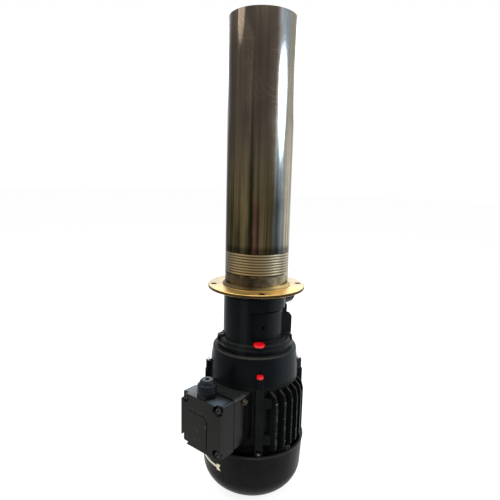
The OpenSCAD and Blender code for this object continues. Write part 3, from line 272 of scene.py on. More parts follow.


# dust and a painted sheen where a face looks upwards, most of it along rounded edges, where the pale stands
# in for their highlights
def buildSettledDust(look):
    group, given, out = newGroup("settledDust", ["Amount"], ["Dust"])
    upward = addNode(group, "SeparateXYZ", {0: addNode(group, "NewGeometry").outputs["Normal"]}).outputs[2]
    sloping = spread(group, upward, *look["sloping"])
    level = spread(group, upward, *look["level"])
    specks = spread(group, noise(group, given["Vector"], *look["specks"]), *look["speckEdge"])
    dustAndSheenShare = product(group, sloping, level, specks)
    group.links.new(calc(group, "MULTIPLY", dustAndSheenShare, given["Amount"], True), out["Dust"])
    return group


# a point's turn from the terminal box, as a share of a full turn, and its radius and height
def buildAboutAxis():
    group, given, out = newGroup("aboutAxis", [], ["Turn", "Radius", "Height"])
    x, y, z = addNode(group, "SeparateXYZ", {0: given["Vector"]}).outputs
    turn = calc(group, "ARCTAN2", x, product(group, y, -1.0))
    group.links.new(calc(group, "ADD", product(group, turn, 1 / (2 * math.pi)), 0.5), out["Turn"])
    group.links.new(distance(group, x, y), out["Radius"])
    group.links.new(z, out["Height"])
    return group


castSkin = buildCastSkin(skinEffect)
drawnStreaks = buildDrawnStreaks(streakEffect)
settledDust = buildSettledDust(dustAndSheenEffect)
aboutAxis = buildAboutAxis()


def newMaterial(name):
    material = bpy.data.materials.new(name)
    material.use_nodes = True
    tree = material.node_tree
    shader = tree.nodes["Principled BSDF"]
    return material, tree, shader, addNode(tree, "TexCoord").outputs["Object"]


def bumpFrom(tree, shader, height, depth):
    bump = addNode(tree, "Bump", {"Height": height, "Distance": depth * mm})
    tree.links.new(bump.outputs[0], shader.inputs["Normal"])


# paints over the colour that a material has so far
def coverColour(material, mask, colour):
    tree = material.node_tree
    base = tree.nodes["Principled BSDF"].inputs["Base Color"]
    tree.links.new(mixColours(tree, mask, base.links[0].from_socket, colour), base)


# black paint over cast metal, with dust and a painted sheen on faces that look upwards
def castPaint(name, look):
    material, tree, shader, place = newMaterial(name)
    skin = placeGroup(tree, castSkin, Vector=place, Grain=look["grain"], Scuffs=look["scuffs"])
    fall = placeGroup(tree, settledDust, Vector=place, Amount=look["dustAndSheenAmount"])
    dark = [share * look["darker"] for share in look["colour"]]
    shade = mixColours(tree, skin["Mottle"], dark, look["colour"])
    shade = mixColours(tree, skin["Scuff"], shade, look["rubbed"])
    shade = mixColours(tree, fall["Dust"], shade, look["dustAndSheenColour"])
    tree.links.new(shade, shader.inputs["Base Color"])
    dull = spread(tree, skin["Mottle"], 0, 1, *look["roughness"])
    dull = calc(tree, "ADD", dull, product(tree, fall["Dust"], look["dustRoughness"]), True)
    tree.links.new(dull, shader.inputs["Roughness"])
    shader.inputs["Specular IOR Level"].default_value = look["specular"]
    bumpFrom(tree, shader, skin["Height"], look["depth"])
    return material


# bare or plated metal with fine marks
def bareMetal(name, look):
    material, tree, shader, place = newMaterial(name)
    marks = placeGroup(tree, drawnStreaks, Vector=place, Width=look["width"], Length=look["length"])
    shade = mixColours(tree, marks["Streak"], look["colour"], look["darker"])
    shade = mixColours(tree, product(tree, marks["Cloud"], look["clouding"]), shade, look["darker"])
    tree.links.new(shade, shader.inputs["Base Color"])
    smoothest, roughest = (look["roughness"] * share for share in look["roughShares"])
    tree.links.new(spread(tree, marks["Hair"], 0, 1, smoothest, roughest), shader.inputs["Roughness"])
    shader.inputs["Metallic"].default_value = 1.0
    bumpFrom(tree, shader, marks["Hair"], look["depth"])
    return material


# moulded plastic, rubber and paper, some with dust and a painted sheen on faces that look upwards
def moulded(name, look):
    material, tree, shader, place = newMaterial(name)
    skin = placeGroup(tree, castSkin, Vector=place, Grain=look["grain"], Scuffs=look["scuffs"])
    fall = placeGroup(tree, settledDust, Vector=place, Amount=look["dustAndSheenAmount"])
    times, more = look["paler"]
    paler = [min(1.0, share * times + more) for share in look["colour"]]
    shade = mixColours(tree, skin["Mottle"], look["colour"], paler)
    shade = mixColours(tree, fall["Dust"], shade, look["dustAndSheenColour"])
    tree.links.new(shade, shader.inputs["Base Color"])
    smoothest, roughest = (look["roughness"] + change for change in look["roughChange"])
    tree.links.new(spread(tree, skin["Mottle"], 0, 1, smoothest, roughest), shader.inputs["Roughness"])
    shader.inputs["Specular IOR Level"].default_value = look["specular"]
    bumpFrom(tree, shader, skin["Height"], look["depth"])
    return material


# turns are written in degrees from the terminal box, and a node reads them as a share of a full turn
def shareOf(degrees):
    return degrees / 360 + 0.5


# greys over turns about the axis
def turnRamp(tree, turn, stops):
    made = addNode(tree, "ValToRGB", {0: turn})
    ramp = made.color_ramp
    while len(ramp.elements) < len(stops):
        ramp.elements.new(0.5)
    for element, (degrees, grey) in zip(ramp.elements, stops):
        element.position = shareOf(degrees)
        element.color = (grey, grey, grey, 1)
    return made.outputs[0]


# greys over turns and masks over turns and heights in metres, for the reflections painted on the polished
# tube
polishLook = {
    "high": [(-180, 0.12), (-118, 0.05), (-62, 0.3), (-42, 0.3), (-28, 0.05), (-14, 0.05), (2, 0.032),
             (16, 0.035), (30, 0.055), (52, 0.06), (60, 0.1), (69, 0.37), (80, 0.3), (98, 0.3), (122, 0.6),
             (152, 0.12)],
    "low": [(-180, 0.1), (-110, 0.06), (-60, 0.1), (-28, 0.02), (-14, 0.09), (2, 0.04), (14, 0.075),
            (20, 0.03), (26, 0.012), (32, 0.085), (40, 0.08), (58, 0.05), (72, 0.06), (82, 0.15), (93, 0.36),
            (110, 0.6), (150, 0.09)],
    "change": (0.11, 0.21), "wander": 0.012,
    "broad": {"Width": 60.0, "Length": 0.03}, "narrow": {"Width": 210.0, "Length": 0.02},
    "streaks": (-0.5, 0.42), "slow": (-0.22, 0.2), "smear": (0.88, 1.1), "fade": (0.12, 0.24, 1.0, 0.3),
    "bandRise": (0.044, 0.046), "bandFall": (0.058, 0.052), "bandShade": 0.42,
    "left": (60, 45), "mouth": (0.29, 0.335), "mouthLift": 1.45,
    "skyTurns": (-19, -31), "skyRise": (0.195, 0.235), "skyFall": (0.29, 0.255), "skyLift": 2.0,
    "redReflectionTurns": (27, 39), "redReflectionEdge": 0.006, "redReflectionUnder": (0.13, 0.1),
    "blueTurn": 64, "blueEdge": (-0.01, 0.015), "beigeTurn": 88, "beigeEdge": (-0.012, 0.0),
    "warm": (1.0, 0.79, 0.61), "gold": (1.0, 0.8, 0.38), "blue": (0.8, 0.93, 1.0), "beige": (1.0, 0.91, 0.72),
    "redReflection": (1.0, 0.52, 0.36), "sky": (0.9, 0.9, 1.0), "edge": (0.6, 0.6, 0.6),
    "roughness": (0.1, 0.2), "depth": 0.002}

# fine rings round a few centres, where the tube was wiped
swirlLook = {"centres": ((0.012, -0.042, 0.335), (0.05, -0.03, 0.26), (-0.03, 0.03, 0.3)),
             "pitch": 0.0056, "reach": (0.06, 0.045), "wobble": 0.004, "line": (0.93, 1.0),
             "patchNoise": (48.0, 2.0, 0.5), "patch": (0.5, 0.6), "lift": 1.7}

# the stretch between the ridges and the flange, with the flange's gold reflection painted on it in bands
footLook = {"under": (0.0185, 0.0155),
            "bands": [(-180, 0.1), (-60, 0.1), (-30, 0.07), (0, 0.05), (28, 0.02), (45, 0.045), (65, 0.12),
                      (85, 0.24), (107, 0.4), (150, 0.1)],
            "blotchNoise": (95.0, 4.0, 0.7), "blotch": (0.36, 0.62, 0.6, 1.35),
            "tint": (1.0, 0.86, 0.56), "leftTint": (1.0, 0.74, 0.38)}


# painted reflections: dark and bright bands along the tube, broken up by streaks, with a painted dark band
# above the ridges
def tubeBands(tree, look, turn, height, broad, narrow):
    change = spread(tree, height, *look["change"])
    bright = addNode(tree, "Mix", {0: change, 2: turnRamp(tree, turn, look["low"]),
                                   3: turnRamp(tree, turn, look["high"])}).outputs[0]
    fade = spread(tree, height, *look["fade"])
    streaks = product(tree, spread(tree, narrow["Streak"], 0, 1, *look["streaks"]), fade)
    slow = product(tree, spread(tree, broad["Streak"], 0, 1, *look["slow"]), fade)
    smear = spread(tree, broad["Cloud"], 0, 1, *look["smear"])
    bright = product(tree, bright, smear, calc(tree, "ADD", 1.0, calc(tree, "ADD", streaks, slow)))
    band = window(tree, height, look["bandRise"], look["bandFall"])
    return calc(tree, "MULTIPLY", bright, spread(tree, band, 0, 1, 1.0, look["bandShade"]), True)


def tubeSwirls(tree, look, place, bright, cloud):
    parts = addNode(tree, "SeparateXYZ", {0: place}).outputs
    patches = spread(tree, noise(tree, place, *look["patchNoise"]), *look["patch"])
    for centre in look["centres"]:
        aside = [calc(tree, "SUBTRACT", part, middle) for part, middle in zip(parts, centre)]
        reach = calc(tree, "ADD", distance(tree, *aside), product(tree, cloud, look["wobble"]))
        wave = calc(tree, "SINE", product(tree, reach, 2 * math.pi / look["pitch"]))
        patch = product(tree, patches, spread(tree, reach, *look["reach"]))
        ring = product(tree, spread(tree, wave, *look["line"]), patch)
        bright = scaleBy(tree, bright, ring, look["lift"])
    return bright


# the colour of the reflections, from brown on the left to blue and beige on the right
def tubeTint(tree, look, turn, height, sky):
    tint = mixColours(tree, spread(tree, height, *look["change"]), look["gold"], look["warm"])
    start, end = (shareOf(degrees) for degrees in look["redReflectionTurns"])
    # a painted red-brown reflection low on the tube, between two turns
    redReflection = window(tree, turn, (start, start + look["redReflectionEdge"]), (end, end - look["redReflectionEdge"]))
    redReflection = product(tree, redReflection, spread(tree, height, *look["redReflectionUnder"]))
    tint = mixColours(tree, redReflection, tint, look["redReflection"])
    tint = mixColours(tree, sky, tint, look["sky"])
    for colour in ("blue", "beige"):
        edges = [shareOf(look[colour + "Turn"]) + aside for aside in look[colour + "Edge"]]
        tint = mixColours(tree, spread(tree, turn, *edges), tint, look[colour])
    return tint


# the polished tube: what it mirrors is painted in dark and bright bands with long streaks
def tubePolish(look, swirls, foot):
    material, tree, shader, place = newMaterial("tubePolish")
    broad = placeGroup(tree, drawnStreaks, Vector=place, **look["broad"])
    narrow = placeGroup(tree, drawnStreaks, Vector=place, **look["narrow"])
    about = placeGroup(tree, aboutAxis, Vector=place)
    height = about["Height"]
    wander = product(tree, calc(tree, "SUBTRACT", broad["Cloud"], 0.5), look["wander"])
    turn = calc(tree, "ADD", about["Turn"], wander)
    bright = tubeBands(tree, look, turn, height, broad, narrow)
    leftSide = spread(tree, turn, *(shareOf(degrees) for degrees in look["left"]))
    # a painted lighter reflection near the mouth on the left, and a painted sky reflection on the left below
    # it
    mouth = product(tree, spread(tree, height, *look["mouth"]), leftSide)
    bright = scaleBy(tree, bright, mouth, look["mouthLift"])
    sky = product(tree, spread(tree, turn, *(shareOf(degrees) for degrees in look["skyTurns"])),
                  window(tree, height, look["skyRise"], look["skyFall"]))
    bright = scaleBy(tree, bright, sky, look["skyLift"])
    bright = tubeSwirls(tree, swirls, place, bright, broad["Cloud"])
    shade = mixColours(tree, bright, black, tubeTint(tree, look, turn, height, sky))
    # the flange's reflection painted on the foot of the tube, browner on the left and broken up in blotches
    footReflectionTint = mixColours(tree, leftSide, foot["tint"], foot["leftTint"])
    blotch = spread(tree, noise(tree, place, *foot["blotchNoise"]), *foot["blotch"])
    footReflection = product(tree, turnRamp(tree, turn, foot["bands"]), blotch)
    footReflection = mixColours(tree, footReflection, black, footReflectionTint)
    shade = mixColours(tree, spread(tree, height, *foot["under"]), shade, footReflection)
    tree.links.new(shade, shader.inputs["Base Color"])
    shader.inputs["Metallic"].default_value = 1.0
    shader.inputs["Specular Tint"].default_value = (*look["edge"], 1)
    tree.links.new(spread(tree, narrow["Hair"], 0, 1, *look["roughness"]), shader.inputs["Roughness"])
    bumpFrom(tree, shader, narrow["Hair"], look["depth"])
    return material


ridgeLook = {
    "bands": [(-180, 0.4), (-120, 0.7), (-60, 0.12), (-28, 0.14), (-8, 0.3), (28, 0.3), (48, 0.34),
              (64, 0.42), (86, 0.42), (104, 0.8), (150, 0.4)],
    "valleyShade": (0.13, 0.105, 0.06), "crest": (0.64, 0.57, 0.42), "crestWave": (-0.95, 0.85), "lag": 1.95,
    "leftValleyShade": (0.13, 0.09, 0.035), "leftCrest": (0.64, 0.49, 0.25), "left": (64, 44),
    "roughness": 0.38}


# the ridges: painted highlights on the crests and painted shade in the grooves between them, over painted
# reflection bands, browner on the left
def ridgePolish(look, start, pitch):
    material, tree, shader, place = newMaterial("ridgePolish")
    about = placeGroup(tree, aboutAxis, Vector=place)
    phase = product(tree, calc(tree, "SUBTRACT", about["Height"], start * mm), 2 * math.pi / (pitch * mm))
    wave = calc(tree, "SINE", calc(tree, "SUBTRACT", phase, look["lag"]))
    crest = spread(tree, wave, *look["crestWave"])
    bands = turnRamp(tree, about["Turn"], look["bands"])
    metal = mixColours(tree, crest, look["valleyShade"], look["crest"])
    browner = mixColours(tree, crest, look["leftValleyShade"], look["leftCrest"])
    leftSide = spread(tree, about["Turn"], *(shareOf(degrees) for degrees in look["left"]))
    metal = mixColours(tree, leftSide, metal, browner)
    tree.links.new(mixColours(tree, bands, black, metal), shader.inputs["Base Color"])
    shader.inputs["Metallic"].default_value = 1.0
    shader.inputs["Roughness"].default_value = look["roughness"]
    return material


# places and reaches in metres, and the holes' turn in degrees
platingLook = {
    "pale": (0.35, 0.28, 0.16), "deep": (0.8, 0.53, 0.18), "scuffed": (0.75, 0.6, 0.38),
    "front": (0.64, -0.77), "frontReach": (0.005, 0.06), "frontMottle": 0.018, "grain": 500.0, "scuffs": 0.4,
    "collar": (1.0, 0.72, 0.32), "collarBands": footLook["bands"], "collarShine": 1.4,
    "collarFrom": (0.0, 0.0006), "rimDarkAndHoleShade": (0.04, 0.027, 0.013), "rim": (0.0646, 0.0649),
    "holeCircle": 0.0575, "holeTurn": 45, "holeEdge": (0.0048, 0.0041), "roughness": (0.4, 0.5),
    "depth": 0.01}


# yellow plating with a painted reflection, paler at the sides and deeper in colour where the plate faces the
# front; dark on its rim, with painted shade in its bolt holes, and the tube foot's painted reflection on its
# collar
def goldPlating(look):
    material, tree, shader, place = newMaterial("goldPlating")
    x, y, z = addNode(tree, "SeparateXYZ", {0: place}).outputs
    about = placeGroup(tree, aboutAxis, Vector=place)
    marks = placeGroup(tree, castSkin, Vector=place, Grain=look["grain"], Scuffs=look["scuffs"])
    acrossX, acrossY = look["front"]
    front = calc(tree, "ADD", product(tree, x, acrossX), product(tree, y, acrossY))
    front = calc(tree, "ADD", front, product(tree, marks["Mottle"], look["frontMottle"]))
    shade = mixColours(tree, spread(tree, front, *look["frontReach"]), look["pale"], look["deep"])
    shade = mixColours(tree, marks["Scuff"], shade, look["scuffed"])
    bands = product(tree, turnRamp(tree, about["Turn"], look["collarBands"]), look["collarShine"])
    collar = mixColours(tree, bands, black, look["collar"])
    shade = mixColours(tree, spread(tree, z, *look["collarFrom"]), shade, collar)
    rim = spread(tree, about["Radius"], *look["rim"])
    holeAt = look["holeCircle"] * math.cos(math.radians(look["holeTurn"]))
    aside = [calc(tree, "SUBTRACT", calc(tree, "ABSOLUTE", part), holeAt) for part in (x, y)]
    hole = spread(tree, distance(tree, *aside), *look["holeEdge"])
    shade = mixColours(tree, calc(tree, "MAXIMUM", rim, hole), shade, look["rimDarkAndHoleShade"])
    tree.links.new(shade, shader.inputs["Base Color"])
    tree.links.new(spread(tree, marks["Mottle"], 0, 1, *look["roughness"]), shader.inputs["Roughness"])
    shader.inputs["Metallic"].default_value = 1.0
    bumpFrom(tree, shader, marks["Height"], look["depth"])
    return material


# the object's own coordinates, for a pattern laid over a material that is made already
def placeIn(material):
    return addNode(material.node_tree, "TexCoord").outputs["Object"]


# painted shade in the corners of the head, under the lip of its recess and under its band, each with two
# heights in metres and two turns
cornerShadeLook = {"corners": [(-0.0329, -0.029, 31, 131), (-0.0142, -0.0109, -148, 54)],
              "turnEdge": 0.004, "footEdge": 0.0012, "headEdge": 0.0001, "darkColour": (0.0003, 0.0003, 0.0004)}


def paintCornerShade(material, look):
    tree = material.node_tree
    about = placeGroup(tree, aboutAxis, Vector=placeIn(material))
    for low, high, start, end in look["corners"]:
        start, end = shareOf(start), shareOf(end)
        across = window(tree, about["Turn"], (start, start + look["turnEdge"]), (end, end - look["turnEdge"]))
        along = window(tree, about["Height"], (low, low + look["footEdge"]), (high, high - look["headEdge"]))
        coverColour(material, product(tree, across, along), look["darkColour"])


# a dark line along the joint of the terminal box, square to the Y axis, in metres
seamLook = {"rise": (-0.0832, -0.0826), "fall": (-0.0797, -0.0803), "darkColour": (0.0003, 0.0003, 0.0003)}


def grimeSeam(material, look):
    tree = material.node_tree
    across = addNode(tree, "SeparateXYZ", {0: placeIn(material)}).outputs[1]
    coverColour(material, window(tree, across, look["rise"], look["fall"]), look["darkColour"])


# paint rubbed and chipped off the tips of the fins, past a radius in metres
tipLook = {"reach": (0.0693, 0.0698), "rubbedNoise": (130.0, 4.0, 0.7), "rubbedOver": (0.5, 0.68, 0.12, 1.0),
           "rubbed": (0.06, 0.065, 0.066), "chipNoise": (330.0, 2.0, 0.6), "chipOver": (0.66, 0.7),
           "chipped": (0.4, 0.41, 0.4)}


def rubTips(material, look):
    tree = material.node_tree
    place = placeIn(material)
    tips = spread(tree, placeGroup(tree, aboutAxis, Vector=place)["Radius"], *look["reach"])
    rubbed = spread(tree, noise(tree, place, *look["rubbedNoise"]), *look["rubbedOver"])
    coverColour(material, product(tree, rubbed, tips), look["rubbed"])
    chips = spread(tree, noise(tree, place, *look["chipNoise"]), *look["chipOver"])
    coverColour(material, product(tree, chips, tips), look["chipped"])


# painted highlights on sides of the castings, where the paint is made paler, as shares over turns
sideSheenLook = {
    "shieldPaint": [(-180, 0), (60, 0), (90, 0.6), (110, 1), (135, 1), (170, 0)],
    "headPaint": [(-180, 0), (9, 0), (13, 0.22), (22, 0.26), (26, 0), (60, 0), (88, 0.6), (100, 0.6),
                  (112, 0.3), (135, 0.3), (170, 0)],
    "paler": (0.03, 0.035, 0.037)}


def paintSideSheen(material, stops, paler):
    tree = material.node_tree
    about = placeGroup(tree, aboutAxis, Vector=placeIn(material))
    coverColour(material, turnRamp(tree, about["Turn"], stops), paler)


# painted reflections on the top of the terminal box, each at two places and with a reach in metres
boxReflectionLook = {"reflectionSpots": [(-0.029, -0.091, 0.024), (0.0225, -0.0995, 0.0155)], "fullFrom": 0.2,
             "upward": (0.93, 0.99), "above": (-0.136, -0.135), "paler": (0.085, 0.105, 0.13)}


def paintBoxReflections(material, look):
    tree = material.node_tree
    x, y, z = addNode(tree, "SeparateXYZ", {0: placeIn(material)}).outputs
    normal = addNode(tree, "NewGeometry").outputs["Normal"]
    upward = spread(tree, addNode(tree, "SeparateXYZ", {0: normal}).outputs[2], *look["upward"])
    top = product(tree, upward, spread(tree, z, *look["above"]))
    for middleX, middleY, reach in look["reflectionSpots"]:
        aside = [calc(tree, "SUBTRACT", x, middleX), calc(tree, "SUBTRACT", y, middleY)]
        smear = spread(tree, distance(tree, *aside), reach, reach * look["fullFrom"])
        coverColour(material, product(tree, smear, top), look["paler"])


blackCast = {"colour": (0.0058, 0.0078, 0.0092), "darker": 0.62, "rubbed": (0.1, 0.1, 0.095),
             "roughness": (0.23, 0.34), "grain": 800.0, "depth": 0.04, "scuffs": 0.3, "dustAndSheenAmount": 0.42,
             "dustAndSheenColour": (0.13, 0.125, 0.105), "dustRoughness": 0.5, "specular": 0.026}
paints = {
    "headPaint": {"colour": (0.0052, 0.0072, 0.0088), "roughness": (0.19, 0.3), "dustAndSheenAmount": 0.34},
    "shieldPaint": {},
    "framePaint": {"colour": (0.0098, 0.0108, 0.0104), "grain": 600.0, "depth": 0.06, "dustAndSheenAmount": 0.25},
    # the box's pale bluish dust and sheen paints highlights along its rounded edges
    "boxPaint": {"colour": (0.0052, 0.0056, 0.0038), "roughness": (0.1, 0.21), "rubbed": (0.2, 0.2, 0.19),
                 "scuffs": 0.4, "depth": 0.012, "dustAndSheenAmount": 0.34, "dustAndSheenColour": (0.15, 0.165, 0.175),
                 "specular": 0.105},
}
paint = {name: castPaint(name, {**blackCast, **look}) for name, look in paints.items()}
rubTips(paint["framePaint"], tipLook)
grimeSeam(paint["boxPaint"], seamLook)
# painted highlights on the sides of the shield and the head
for name in ("shieldPaint", "headPaint"):
    paintSideSheen(paint[name], sideSheenLook[name], sideSheenLook["paler"])
# painted reflections on the top of the terminal box
paintBoxReflections(paint["boxPaint"], boxReflectionLook)
# painted shade under the overhangs of the head
paintCornerShade(paint["headPaint"], cornerShadeLook)

plainMetal = {"length": 0.2, "depth": 0.004, "clouding": 0.35, "roughShares": (0.8, 1.3)}
metals = {
    "dullBrass": {"colour": (0.16, 0.13, 0.09), "darker": (0.06, 0.05, 0.035), "roughness": 0.5,
                  "width": 300.0},
    "zincScrew": {"colour": (0.6, 0.61, 0.62), "darker": (0.4, 0.4, 0.41), "roughness": 0.3, "width": 300.0},
    "turnedSteel": {"colour": (0.55, 0.56, 0.57), "darker": (0.42, 0.42, 0.43), "roughness": 0.32,
                    "width": 200.0},
    "groundSteel": {"colour": (0.66, 0.67, 0.68), "darker": (0.55, 0.55, 0.56), "roughness": 0.16,
                    "width": 240.0},
    "springSteel": {"colour": (0.22, 0.22, 0.23), "darker": (0.12, 0.12, 0.12), "roughness": 0.34,
                    "width": 240.0},
    "castBronze": {"colour": (0.52, 0.34, 0.14), "darker": (0.38, 0.23, 0.09), "roughness": 0.36,
                   "width": 180.0},
    "brightBrass": {"colour": (0.78, 0.58, 0.25), "darker": (0.6, 0.42, 0.17), "roughness": 0.24,
                    "width": 260.0},
    "sheetStack": {"colour": (0.3, 0.3, 0.31), "darker": (0.17, 0.17, 0.18), "roughness": 0.4,
                   "width": 420.0},
    "windingCopper": {"colour": (0.5, 0.17, 0.06), "darker": (0.3, 0.08, 0.03), "roughness": 0.34,
                      "width": 500.0},
    "castAluminium": {"colour": (0.62, 0.62, 0.63), "darker": (0.48, 0.48, 0.49), "roughness": 0.42,
                      "width": 160.0},
}
metal = {name: bareMetal(name, {**plainMetal, **look}) for name, look in metals.items()}

plainMoulding = {"dustAndSheenAmount": 0.0, "dustAndSheenColour": (0.3, 0.29, 0.27), "specular": 0.5, "scuffs": 0.1,
                 "paler": (1.25, 0.004), "roughChange": (-0.04, 0.05)}
mouldings = {
    "redPlastic": {"colour": (0.8, 0.003, 0.008), "roughness": 0.3, "grain": 300.0, "depth": 0.01},
    "blackScrew": {"colour": (0.016, 0.017, 0.018), "roughness": 0.36, "grain": 500.0, "depth": 0.01,
                   "specular": 0.15},
    "oilRubber": {"colour": (0.012, 0.012, 0.012), "roughness": 0.62, "grain": 500.0, "depth": 0.02},
    "sealPaper": {"colour": (0.03, 0.028, 0.022), "roughness": 0.8, "grain": 700.0, "depth": 0.03},
    "fanPlastic": {"colour": (0.012, 0.012, 0.013), "roughness": 0.45, "grain": 500.0, "depth": 0.02},
    "coverSkin": {"colour": (0.0048, 0.0048, 0.0045), "roughness": 0.32, "grain": 700.0, "depth": 0.015,
                  "dustAndSheenAmount": 0.3, "dustAndSheenColour": (0.12, 0.12, 0.11), "specular": 0.05},
    "arrowFilm": {"colour": (0.72, 0.68, 0.5), "roughness": 0.5, "grain": 400.0, "depth": 0.01},
    "boardResin": {"colour": (0.5, 0.42, 0.26), "roughness": 0.5, "grain": 400.0, "depth": 0.03},
    # the gland's pale bluish dust and sheen paints the highlight on the dome of its nut
    "glandPlastic": {"colour": (0.0024, 0.003, 0.0042), "roughness": 0.16, "grain": 600.0, "depth": 0.008,
                     "dustAndSheenAmount": 0.07, "dustAndSheenColour": (0.24, 0.3, 0.37), "specular": 0.06},
}
mould = {name: moulded(name, {**plainMoulding, **look}) for name, look in mouldings.items()}
print("materials made")


# the suction tube with its rolled ridges, in millimetres
tubeLook = {"radius": 42.5, "bore": 40.0, "top": 337.0, "bottom": -10.0, "footBreak": 0.3,
            "rows": (120.0, 230.0), "ridgeStart": 18.3, "pitch": 3.5, "ridges": 8, "depth": 0.7,
            "ridgeMargin": 0.5, "ridgeSteps": 8, "ridgeGap": (0.001, 0.01), "crestPower": 0.7,
            "lip": 0.35, "lipRound": (0.12, 0.1), "boreBreak": 0.5,
            "grooves": (329.0, 210.0), "grooveDepth": 1.2, "grooveWidth": 2.0, "grooveFit": 0.05,
            "turnSteps": 256, "smoothUnder": 40, "polishMargin": 0.2, "ridgeSkin": 41.2}


def tubeOutline(look):
    r, inner, top, bottom = (look[k] for k in ("radius", "bore", "top", "bottom"))
    start, pitch, ridges, steps = (look[k] for k in ("ridgeStart", "pitch", "ridges", "ridgeSteps"))
    firstGap, gap = look["ridgeGap"]
    points = [(inner, bottom), (r - look["footBreak"], bottom), (r, bottom + look["footBreak"]),
              (r, start - look["ridgeMargin"])]
    for k in range(ridges):
        for step in range(steps + 1):
            crest = math.sin(math.pi * step / steps) ** look["crestPower"]
            share = (step + firstGap) / (steps + gap)
            points.append((r - look["depth"] * (1 - crest), start + pitch * (k + share)))
    points.append((r, start + pitch * ridges + look["ridgeMargin"]))
    points += [(r, row) for row in look["rows"]]
    inward, down = look["lipRound"]
    points += [(r, top - look["lip"]), (r - inward, top - down), (r - look["lip"], top),
               (inner + look["boreBreak"], top), (inner, top - look["boreBreak"])]
    for z in look["grooves"]:
        deep, low = inner + look["grooveDepth"], z - look["grooveFit"]
        high = z + look["grooveWidth"] + look["grooveFit"]
        points += [(inner, high), (deep, high), (deep, low), (inner, low)]
    return points + [points[0]]


# gives the outside of the ridges a material of their own
def polishRidges(piece, look, material):
    piece.data.materials.append(material)
    foot = (look["ridgeStart"] - look["polishMargin"]) * mm
    head = foot + (look["pitch"] * look["ridges"] + 2 * look["polishMargin"]) * mm
    for face in piece.data.polygons:
        if foot < face.center.z < head and Vector(face.center[:2]).length > look["ridgeSkin"] * mm:
            face.material_index = 1


tube = turnProfile("suctionTube", tubeOutline(tubeLook), tubeLook["turnSteps"])
smooth(tube, tubeLook["smoothUnder"])
finishPiece(tube, tubePolish(polishLook, swirlLook, footLook), "pump_tube")
polishRidges(tube, tubeLook, ridgePolish(ridgeLook, tubeLook["ridgeStart"], tubeLook["pitch"]))
print("tube turned")

# pieces that keep the solid's shape and get a finish, with their edges broken by a width in millimetres
dressed = [
    {"node": "mounting_flange", "name": "flangePlate", "material": goldPlating(platingLook), "edge": 0.0},
    {"node": "flange_gasket", "name": "flangeSeal", "material": mould["sealPaper"], "edge": 0.0},
    {"node": "pump_head", "name": "pumpHead", "material": paint["headPaint"], "edge": 0.45},
    {"node": "head_screws", "name": "headScrews", "material": mould["blackScrew"], "edge": 0.25},
    {"node": "head_screw_cap", "name": "headScrewCap", "material": mould["redPlastic"], "edge": 0.4},
    {"node": "drive_shield", "name": "driveShield", "material": paint["shieldPaint"], "edge": 0.4},
    {"node": "shield_screws", "name": "shieldScrews", "material": metal["zincScrew"], "edge": 0.25},
    {"node": "shield_screw_cap", "name": "shieldScrewCap", "material": mould["redPlastic"], "edge": 0.35},
    {"node": "motor_frame", "name": "motorFrame", "material": paint["framePaint"], "edge": 0.35},
    {"node": "fan_cover", "name": "fanCover", "material": mould["coverSkin"], "edge": 0.3},
    {"node": "fan_cover_screws", "name": "coverScrews", "material": metal["springSteel"], "edge": 0.2},
    {"node": "rear_shield", "name": "rearShield", "material": paint["shieldPaint"], "edge": 0.0},
    {"node": "terminal_box_base", "name": "boxBase", "material": paint["boxPaint"], "edge": 0.35},
    {"node": "terminal_box_hood", "name": "boxHood", "material": paint["boxPaint"], "edge": 0.8},
    {"node": "terminal_box_gasket", "name": "boxSeal", "material": mould["oilRubber"], "edge": 0.0},
    {"node": "hood_screws", "name": "hoodScrews", "material": mould["blackScrew"], "edge": 0.25},
    {"node": "gland_body", "name": "glandBody", "material": mould["glandPlastic"], "edge": 0.3},
    {"node": "gland_nut", "name": "glandNut", "material": mould["glandPlastic"], "edge": 0.3},
    {"node": "earth_screw", "name": "earthScrew", "material": metal["dullBrass"], "edge": 0.15},
]
for piece in dressed:
    dressNode(**piece)
print("castings dressed")

# inner pieces keep their solids and get a finish
inside = {
    "castBronze": ["throttle_bush", "guide_bush", "impeller_1", "impeller_2", "impeller_3"],
    "turnedSteel": ["suction_strainer", "suction_cover", "stage_casing_1", "stage_casing_2", "stage_casing_3",
                    "spacer_sleeve_1", "spacer_sleeve_2", "guide_spider"],
    "springSteel": ["tube_retaining_rings", "impeller_key", "bearing_circlip", "spring_washer",
                    "fan_circlip"],
    "groundSteel": ["impeller_nut", "shaft"],
    "oilRubber": ["slinger_ring", "shaft_seal"],
    "sheetStack": ["stator_core", "rotor_core"],
    "windingCopper": ["stator_winding"],
    "castAluminium": ["rotor_cage"],
    "zincScrew": ["rear_shield_screws"],
    "fanPlastic": ["fan"],
    "arrowFilm": ["rotation_arrow"],
    "brightBrass": ["terminal_base_screws", "terminal_studs"],
    "boardResin": ["terminal_board"],
}
for end in ("drive", "fan"):
    inside["groundSteel"] += [f"{end}_bearing_{part}" for part in ("outer_ring", "inner_ring", "balls")]
    inside["brightBrass"].append(f"{end}_bearing_cage")
finishes = {**metal, **mould}
for finish, nodes in inside.items():
    for node in nodes:
        solid = frame["nodes"][node]
        solid.data.materials.clear()
        solid.data.materials.append(finishes[finish])
print("inner pieces finished")


# camera, floor and light

# place in metres, angles in degrees, and lengths of the lens and its picture in millimetres
cameraLook = {"place": (0.3524, -0.4593, 0.1389), "yaw": -0.94, "pitch": 9.15, "roll": 1.40, "turn": 37.5,
              "lens": 31.37, "sensor": 36, "nearest": 0.02}


